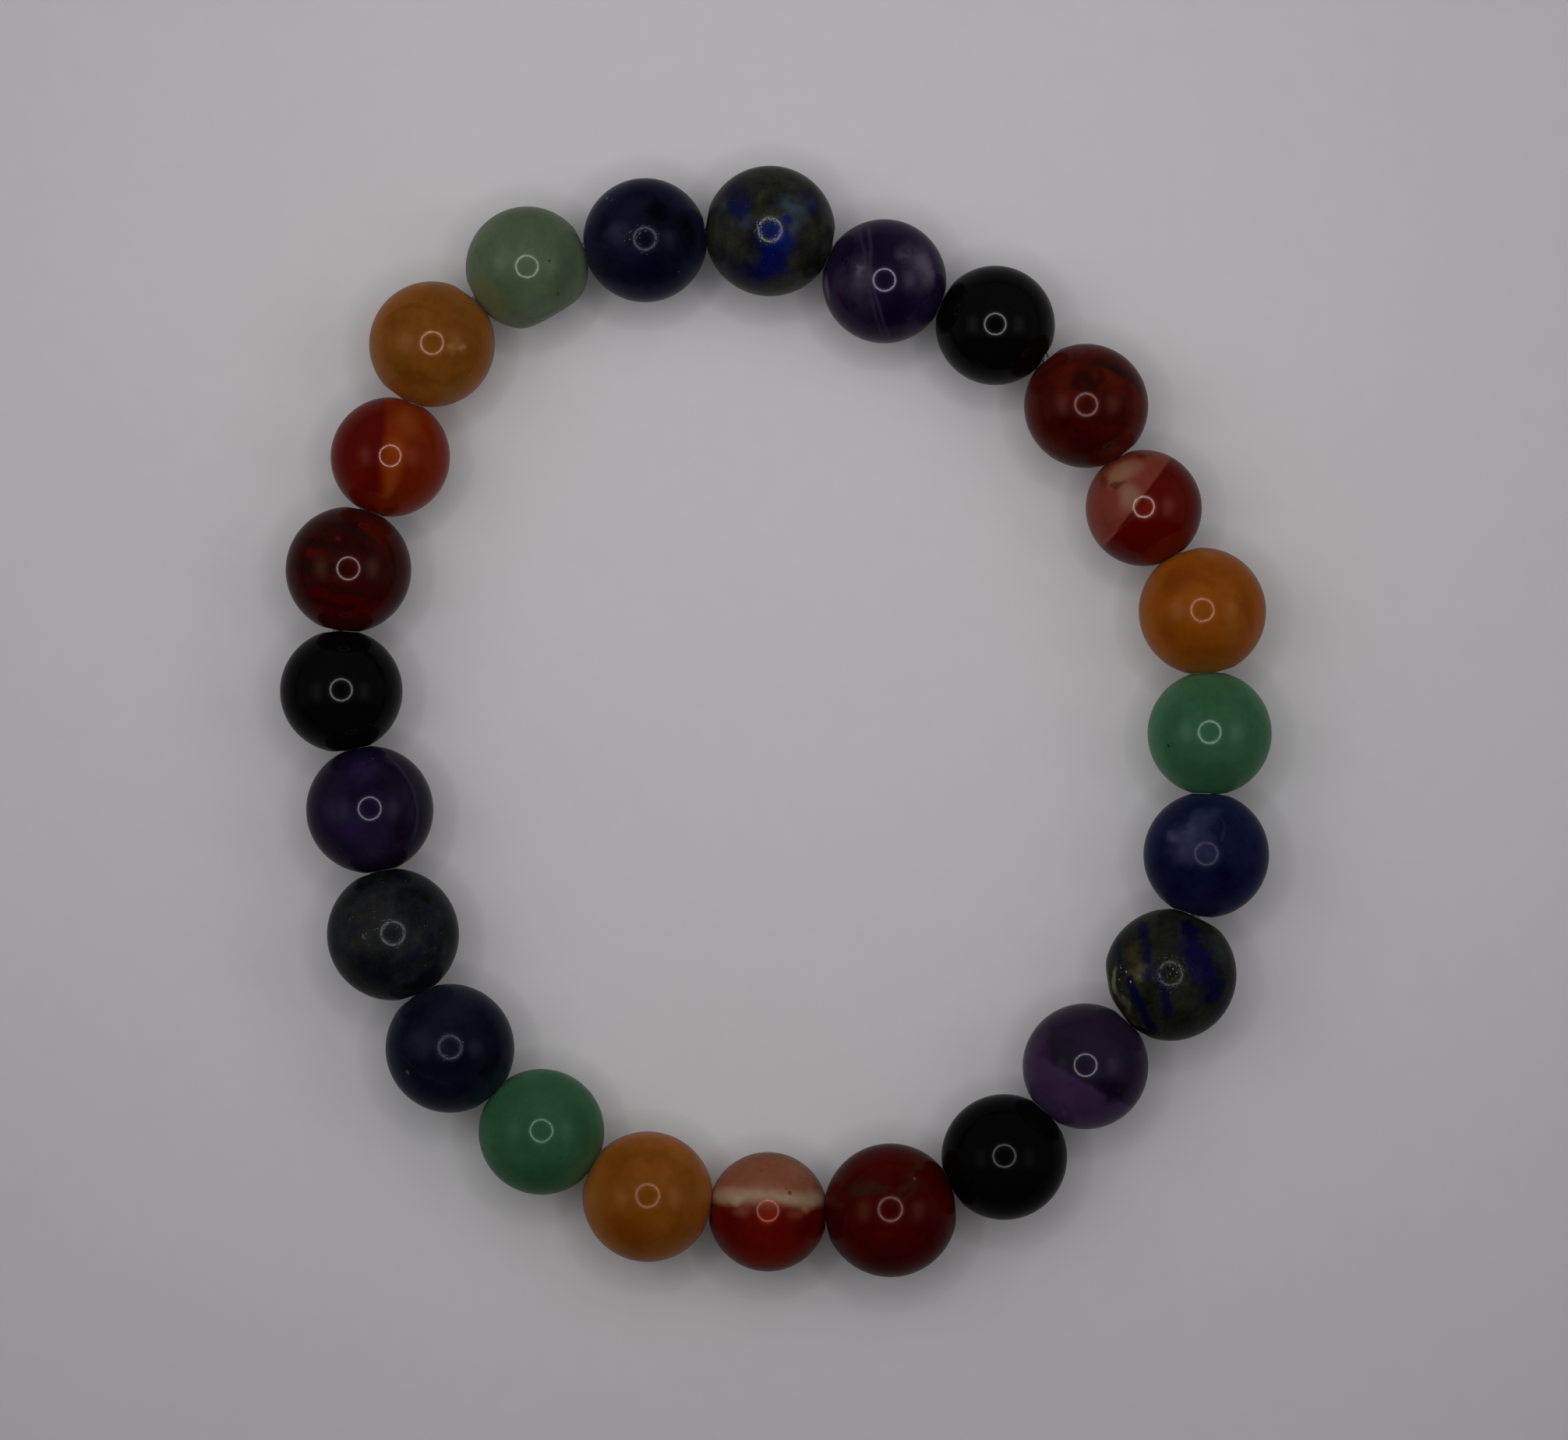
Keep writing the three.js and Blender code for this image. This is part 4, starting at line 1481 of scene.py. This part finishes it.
@dataclass
class Bead:
    """One round bead, ground at its ends, drilled and polished."""

    number: int
    stone: Stone
    look: Look
    centre: Vector = field(default_factory=Vector)
    radius: float = 0.0
    worn: list[Cut] = field(default_factory=list)
    cuts: list[Cut] = field(default_factory=list)
    bore: tuple[Vector, Vector] = (Vector(), Vector())
    bore_radius: float = 0.55 * MM
    mouth_radius: float = 0.8 * MM
    mouth_depth: float = 0.12 * MM
    rim: float = 0.05 * MM
    # A point this near a cut's plane counts as on it
    on_plane: float = 0.0001 * MM
    segments: int = 96
    rings: int = 48
    bore_sides: int = 32
    bit_overrun: float = 0.5 * MM
    # A face of the bit is one of its ends where its normal lies this much along the bore
    end_facing: float = 0.99
    # Points nearer than this become one, edges sharper than this are rounded, and shading is
    # smooth over edges less sharp than the last
    merged: float = 0.004 * MM
    sharp: float = math.radians(8)
    smooth: float = math.radians(35)

    @property
    def name(self) -> str:
        """The piece's name."""
        return f"{self.stone.value}_bead_{self.number:02d}"

    @property
    def node(self) -> str:
        """The CAD node that the piece stands for."""
        return f"bead_{self.number:02d}_{self.stone.value}"

    def build(self) -> bpy.types.Object:
        """Models the bead.

        Returns:
            The finished piece.
        """
        start, end = self.bore
        axis = (end - start).normalized()
        deselect_all()
        bpy.ops.mesh.primitive_uv_sphere_add(
            segments=self.segments,
            ring_count=self.rings,
            radius=self.radius,
            location=self.centre,
            rotation=UP.rotation_difference(axis).to_euler(),
        )
        piece = bpy.context.object
        piece.name = piece.data.name = self.name
        settle(piece)
        self._wear(piece.data)
        bpy.ops.object.mode_set(mode="EDIT")
        bpy.ops.mesh.select_mode(type="EDGE")
        for cut in self.cuts:
            bpy.ops.mesh.select_all(action="SELECT")
            bpy.ops.mesh.bisect(
                plane_co=self.centre + cut.facing * cut.distance,
                plane_no=cut.facing,
                use_fill=True,
                clear_outer=True,
                threshold=self.on_plane,
            )
        bpy.ops.object.mode_set(mode="OBJECT")
        self._drill(piece, axis)
        self._soften(piece)
        return piece

    def _wear(self, mesh: bpy.types.Mesh) -> None:
        """Presses the worn spots flat, with soft shoulders round them.

        Args:
            mesh: The bead's mesh, before its ends are ground.
        """
        for cut in self.worn:
            shoulder = self.radius - cut.distance
            for vertex in mesh.vertices:
                height = (vertex.co - self.centre).dot(cut.facing) - cut.distance
                if height > shoulder:
                    vertex.co -= cut.facing * height
                elif height > -shoulder:
                    vertex.co -= cut.facing * (height + shoulder) ** 2 / (4 * shoulder)

    def _drill(self, piece: bpy.types.Object, axis: Vector) -> None:
        """Drills the bore and opens its mouths.

        Args:
            piece: The bead.
            axis: The way that the bore runs.
        """
        start, end = self.bore
        length = (end - start).length - 2 * self.mouth_depth
        deselect_all()
        bpy.ops.mesh.primitive_cylinder_add(
            vertices=self.bore_sides,
            radius=self.bore_radius,
            depth=length,
            location=(start + end) / 2,
            rotation=UP.rotation_difference(axis).to_euler(),
        )
        bit = bpy.context.object
        flare = self.mouth_radius / self.bore_radius
        bpy.ops.object.mode_set(mode="EDIT")
        bpy.ops.mesh.select_mode(type="FACE")
        for side in (-1, 1):
            bpy.ops.mesh.select_all(action="DESELECT")
            bpy.ops.object.mode_set(mode="OBJECT")
            for face in bit.data.polygons:
                face.select = face.normal.z * side > self.end_facing
            bpy.ops.object.mode_set(mode="EDIT")
            bpy.ops.mesh.extrude_region_move(
                TRANSFORM_OT_translate={"value": axis * side * self.mouth_depth}
            )
            bpy.ops.transform.resize(value=(flare, flare, flare))
            bpy.ops.mesh.extrude_region_move(
                TRANSFORM_OT_translate={"value": axis * side * self.bit_overrun}
            )
        bpy.ops.object.mode_set(mode="OBJECT")
        settle(bit)
        select_only(piece)
        bpy.ops.object.modifier_add(type="BOOLEAN")
        cut = piece.modifiers[-1]
        cut.operation = "DIFFERENCE"
        cut.solver = "EXACT"
        cut.object = bit
        bpy.ops.object.modifier_apply(modifier=cut.name)
        bpy.data.objects.remove(bit)

    def _soften(self, piece: bpy.types.Object) -> None:
        """Rounds the rims of the flats and of the bore, and shades the rest smoothly.

        Args:
            piece: The bead.
        """
        bpy.ops.object.mode_set(mode="EDIT")
        bpy.ops.mesh.select_mode(type="EDGE")
        bpy.ops.mesh.select_all(action="SELECT")
        bpy.ops.mesh.remove_doubles(threshold=self.merged)
        bpy.ops.mesh.dissolve_degenerate(threshold=self.merged / 2)
        bpy.ops.mesh.normals_make_consistent(inside=False)
        bpy.ops.mesh.select_all(action="DESELECT")
        bpy.ops.mesh.edges_select_sharp(sharpness=self.sharp)
        bpy.ops.mesh.bevel(offset=self.rim, segments=2, affect="EDGES", clamp_overlap=True)
        bpy.ops.object.mode_set(mode="OBJECT")
        bpy.ops.object.shade_smooth_by_angle(angle=self.smooth)
        bpy.ops.object.modifier_add(type="WEIGHTED_NORMAL")
        weighted = piece.modifiers[-1]
        weighted.keep_sharp = True
        bpy.ops.object.modifier_apply(modifier=weighted.name)


@dataclass
class Thread:
    """The clear elastic thread: a few strands that twist slowly round each other."""

    route: list[Vector]
    strands: int = 3
    strand_radius: float = 0.16 * MM
    spread: float = 0.17 * MM
    turns: float = 22.0
    steps: int = 10
    resolution: int = 2
    name: str = "elastic_thread_strands"

    def build(self) -> bpy.types.Object:
        """Lays the strands along the route.

        Returns:
            The finished piece.
        """
        line = self._stations()
        runs = []
        for strand in range(self.strands):
            phase = 2 * math.pi * strand / self.strands
            run = []
            for i, (place, side) in enumerate(line):
                angle = phase + 2 * math.pi * self.turns * i / len(line)
                offset = side * math.cos(angle) + UP * math.sin(angle)
                run.append(place + offset * self.spread)
            runs.append(run)
        return wind(self.name, runs, self.strand_radius, self.resolution)

    def _stations(self) -> list[tuple[Vector, Vector]]:
        """Lays places along the route, evenly over each of its runs.

        Returns:
            The places, each with the level way across the thread there.
        """
        line: list[tuple[Vector, Vector]] = []
        for start, end in zip(self.route, self.route[1:]):
            run = end - start
            side = UP.cross(run).normalized()
            for step in range(self.steps):
                line.append((start + run * step / self.steps, side))
        line.append((self.route[-1], line[-1][1]))
        return line


@dataclass
class Knot:
    """The knot in the thread: a few strands that wind round each other, cut off at both ends."""

    centre: Vector
    along: Vector
    length: float = 1.3 * MM
    radius: float = 0.47 * MM
    strand_radius: float = 0.13 * MM
    strands: int = 4
    steps: int = 24
    resolution: int = 3
    # The strands close up at both ends, wind half a turn, and stop short of the full length
    waist: float = 0.45
    twist: float = 0.9 * math.pi
    filled: float = 0.9
    name: str = "elastic_knot"

    def build(self) -> bpy.types.Object:
        """Winds the knot.

        Returns:
            The finished piece.
        """
        side = UP.cross(self.along).normalized()
        room = self.radius - self.strand_radius
        runs = []
        for strand in range(self.strands):
            phase = 2 * math.pi * strand / self.strands
            run = []
            for i in range(self.steps + 1):
                share = i / self.steps
                swell = self.waist + (1 - self.waist) * math.sin(math.pi * share)
                angle = phase + self.twist * share
                offset = side * math.cos(angle) + UP * math.sin(angle)
                place = self.centre + self.along * self.length * (share - 0.5) * self.filled
                run.append(place + offset * room * swell)
            runs.append(run)
        return wind(self.name, runs, self.strand_radius, self.resolution)


@dataclass
class Bracelet:
    """The whole string, laid out on the places that the frame gives."""

    thread_bow: float = 0.45 * MM
    joint_gap: float = 0.03 * MM
    end_depth: float = 0.1 * MM
    knot_joint: int = 5
    knot_clearance: float = 0.75 * MM
    crown_depth: float = 0.001 * MM
    # Spots ground or chipped away: (bead, degrees from +X that it faces, depth)
    flats: tuple[tuple[int, float, float], ...] = (
        (1, 300, 0.45 * MM),
        (11, 65, 0.2 * MM),
        (11, 190, 0.2 * MM),
        (11, 216, 0.25 * MM),
        (14, 5, 0.12 * MM),
        (24, 55, 0.12 * MM),
    )

    def build(self, finisher: Finisher) -> None:
        """Makes and dresses every piece.

        Args:
            finisher: What makes the materials.
        """
        beads = self._seat_beads()
        joints = self._find_joints(beads)
        for i, bead in enumerate(beads):
            before, after = joints[i - 1], joints[i]
            bead.bore = (before.thread, after.thread)
            axis = (after.thread - before.thread).normalized()
            bead.cuts = [
                Cut(after.normal, after.before - self.joint_gap / 2),
                Cut(-before.normal, before.after - self.joint_gap / 2),
                Cut(axis, bead.radius - self.end_depth),
                Cut(-axis, bead.radius - self.end_depth),
            ]
            bead.worn = [
                Cut(heading_vector(facing), bead.radius - depth)
                for number, facing, depth in self.flats
                if number == bead.number
            ]
            piece = bead.build()
            finish = finisher.stone(bead.name, bead.look, bead.centre, bead.radius)
            self._fit(piece, finish, bead.node)

        knot = joints[self.knot_joint - 1]
        order = [*joints[self.knot_joint :], *joints[: self.knot_joint - 1]]
        corners = [joint.thread for joint in order]
        first, last = (
            knot.thread + (corner - knot.thread).normalized() * self.knot_clearance
            for corner in (corners[0], corners[-1])
        )
        elastic = finisher.elastic()
        thread = Thread([first, *corners, last]).build()
        self._fit(thread, elastic, "elastic_thread")
        self._fit(Knot(knot.thread, knot.normal).build(), elastic, "thread_knot")

    def _seat_beads(self) -> list[Bead]:
        """Reads each bead's middle and radius off its CAD node.

        Returns:
            The beads, in their order round the loop.
        """
        stones = list(Stone)
        beads = []
        for i, look in enumerate(LOOKS):
            bead = Bead(i + 1, stones[i % len(stones)], look)
            low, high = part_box(bead.node)
            crown = {
                (round(v.co.x, 7), round(v.co.y, 7))
                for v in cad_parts[bead.node].data.vertices
                if v.co.z > high.z - self.crown_depth
            }
            x, y = (sum(places) / len(crown) for places in zip(*crown))
            bead.radius = (high.z - low.z) / 2
            bead.centre = Vector((x, y, low.z + bead.radius))
            beads.append(bead)
        return beads

    def _find_joints(self, beads: list[Bead]) -> list[Joint]:
        """Finds the plane where each bead faces the next, and where the thread crosses it.

        Args:
            beads: The beads, in order.

        Returns:
            The joint after each bead.
        """
        joints = []
        for i, bead in enumerate(beads):
            other = beads[(i + 1) % len(beads)]
            normal = other.centre - bead.centre
            link = normal.length
            normal.normalize()
            before = (link**2 + bead.radius**2 - other.radius**2) / (2 * link)
            outward = Vector((-normal.y, normal.x, 0)).normalized()
            thread = bead.centre + normal * before + outward * self.thread_bow
            joints.append(Joint(normal, before, link - before, thread))
        return joints

    def _fit(
        self, piece: bpy.types.Object, finish: bpy.types.Material, node: str
    ) -> None:
        """Dresses a piece and ties it to the frame.

        Args:
            piece: The piece.
            finish: Its material.
            node: The CAD node that it stands for.
        """
        piece.data.materials.clear()
        piece.data.materials.append(finish)
        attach(piece, BODY)
        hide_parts(node)
        log.info("%s: %d faces", piece.name, len(piece.data.polygons))


# ---------------------------------------------------------------------------------------------
# The studio
# ---------------------------------------------------------------------------------------------


@dataclass(frozen=True)
class Panel:
    """A soft panel: its bearing from +X, its tilt from straight up, and its radiance."""

    bearing: float
    tilt: float
    radiance: float
    distance: float = 0.35

    @property
    def place(self) -> Vector:
        """Where the panel hangs.

        Returns:
            The place, aimed at from the origin.
        """
        tilt = math.radians(self.tilt)
        way = heading_vector(self.bearing) * math.sin(tilt) + UP * math.cos(tilt)
        return way * self.distance


@dataclass
class Studio:
    """The pale table, the lights round the camera, the tent about them, and the camera."""

    aim: Vector = field(default_factory=lambda: Vector((0.52, 0.09, 4.0)) * MM)
    view_width: float = 99.7 * MM
    camera_height: float = 0.75
    sensor: float = 36.0
    ring_tilt: float = 20.16
    ring_shift: float = 0.034
    tubes: int = 24
    tube_length: float = 0.072
    tube_width: float = 0.02
    tube_radiance: float = 11.5
    panel_size: float = 0.35
    panels: tuple[Panel, ...] = (
        Panel(30, 30, 0.32),
        Panel(60, 30, 0.55),
        Panel(90, 30, 0.84),
        Panel(120, 30, 0.45),
        Panel(150, 30, 0.57),
        Panel(180, 30, 0.86),
        Panel(0, 46, 0.97),
        Panel(30, 46, 0.68),
        Panel(60, 46, 0.17),
        Panel(120, 46, 0.15),
        Panel(150, 46, 1.05),
        Panel(180, 46, 0.42),
        Panel(0, 62, 0.16),
        Panel(120, 62, 0.1),
        Panel(150, 62, 0.31),
        Panel(240, 62, 0.19),
        Panel(330, 62, 0.2),
    )
    # The tent: its grey at the back and at the front, the y of its own direction between which
    # the one goes over into the other, the dark hole for the lens, and a pair of windows
    tent_back: float = 0.055
    tent_front: float = 0.0075
    tent_turn: tuple[float, float] = (-0.48, -0.28)
    lens_hole: tuple[float, float] = (0.985, 0.965)
    window: tuple[float, float, float] = (0.71, 0.08, 0.69)
    window_reach: tuple[float, float] = (0.02, 0.3)
    window_glow: float = 0.17
    backdrop: float = 0.42
    table_size: float = 3.0

    def build(self, finisher: Finisher) -> None:
        """Sets up everything that isn't the bracelet.

        Args:
            finisher: What makes the table's material.
        """
        self._camera()
        self._table(finisher)
        self._ring()
        for i, panel in enumerate(self.panels):
            size = self.panel_size * panel.distance
            lamp = self._lamp(f"panel_{i:02d}", panel.place, "SQUARE", size)
            lamp.data.energy = panel.radiance * math.pi * size**2
            lamp.visible_glossy = False
        self._tent()
        bpy.context.scene.view_settings.view_transform = "Standard"

    def _camera(self) -> None:
        """Places the camera straight above, looking down with +Y up."""
        data = bpy.data.cameras.new("camera")
        data.sensor_width = self.sensor
        data.lens = self.sensor * (self.camera_height - self.aim.z) / self.view_width
        data.clip_start = 0.01
        camera = bpy.data.objects.new("camera", data)
        camera.location = (self.aim.x, self.aim.y, self.camera_height)
        bpy.context.scene.collection.objects.link(camera)
        bpy.context.scene.camera = camera

    def _table(self, finisher: Finisher) -> None:
        """Lays the pale table.

        Args:
            finisher: What makes its material.
        """
        deselect_all()
        bpy.ops.mesh.primitive_grid_add(x_subdivisions=4, y_subdivisions=4, size=self.table_size)
        table = bpy.context.object
        table.name = "pale_table"
        table.data.materials.append(finisher.paper())

    def _lamp(self, name: str, place: Vector, shape: str, size: float) -> bpy.types.Object:
        """Hangs an area light that the camera doesn't see, aimed at the bracelet.

        Args:
            name: The light's name.
            place: Where it hangs.
            shape: Blender's name for its shape.
            size: Its width.

        Returns:
            The light.
        """
        data = bpy.data.lights.new(name, "AREA")
        data.shape = shape
        data.size = size
        lamp = bpy.data.objects.new(name, data)
        lamp.location = place
        lamp.rotation_euler = (-place).to_track_quat("-Z", "Y").to_euler()
        lamp.visible_camera = False
        bpy.context.scene.collection.objects.link(lamp)
        return lamp

    def _ring(self) -> None:
        """Hangs the ring of small tubes round the camera that shows in each bead's polish."""
        radius = math.tan(math.radians(self.ring_tilt)) * self.camera_height
        area = self.tube_length * self.tube_width
        centre = Vector((self.aim.x, self.aim.y + self.ring_shift, self.camera_height))
        for i in range(self.tubes):
            outward = heading_vector(360 * i / self.tubes)
            place = centre + outward * radius
            tube = self._lamp(f"ring_tube_{i:02d}", place, "RECTANGLE", self.tube_length)
            tube.data.size_y = self.tube_width
            tube.data.energy = self.tube_radiance * math.pi * area
            down = (-place).normalized()
            along = UP.cross(outward)
            across = along.cross(down)
            axes = Matrix((along, across, -down)).transposed()
            tube.rotation_euler = axes.to_euler()

    def _tent(self) -> None:
        """Surrounds the table with a dim tent, darker at the front and round the lens."""
        world = bpy.data.worlds.new("tent")
        bpy.context.scene.world = world
        world.use_nodes = True
        board = NodeBoard(world.node_tree)
        direction = board.add("ShaderNodeTexCoord").outputs["Generated"]
        parts = board.add("ShaderNodeSeparateXYZ")
        board.feed(parts, in_0=direction)
        front = board.fade(parts.outputs[1], *self.tent_turn)
        base = board.mix(front, self._grey(self.tent_back), self._grey(self.tent_front))
        folded = board.vector("ABSOLUTE", direction).outputs[0]
        window = board.vector("DISTANCE", folded, self.window).outputs["Value"]
        pane = board.fade(window, *self.window_reach)
        glow = board.math("MULTIPLY", pane, self.window_glow)
        lit = board.vector("ADD", base, glow).outputs[0]
        lens = board.fade(parts.outputs[2], *self.lens_hole)
        seen = board.mix(lens, lit, self._grey(self.tent_front))
        rays = board.add("ShaderNodeLightPath")
        shown = board.mix(rays.outputs["Is Camera Ray"], seen, self._grey(self.backdrop))
        background = board.add("ShaderNodeBackground")
        board.feed(background, Color=shown, Strength=1.0)
        board.feed(board.add("ShaderNodeOutputWorld"), Surface=background.outputs[0])

    @staticmethod
    def _grey(value: float) -> tuple[float, float, float, float]:
        """A neutral linear colour."""
        return (value, value, value, 1.0)


def main() -> None:
    """Builds the studio and the bracelet, and logs the face count of each piece of the bracelet.
    """
    logging.basicConfig(level=logging.INFO, format="%(name)s: %(message)s")
    finisher = Finisher()
    Studio().build(finisher)
    Bracelet().build(finisher)


if __name__ == "__main__":
    main()
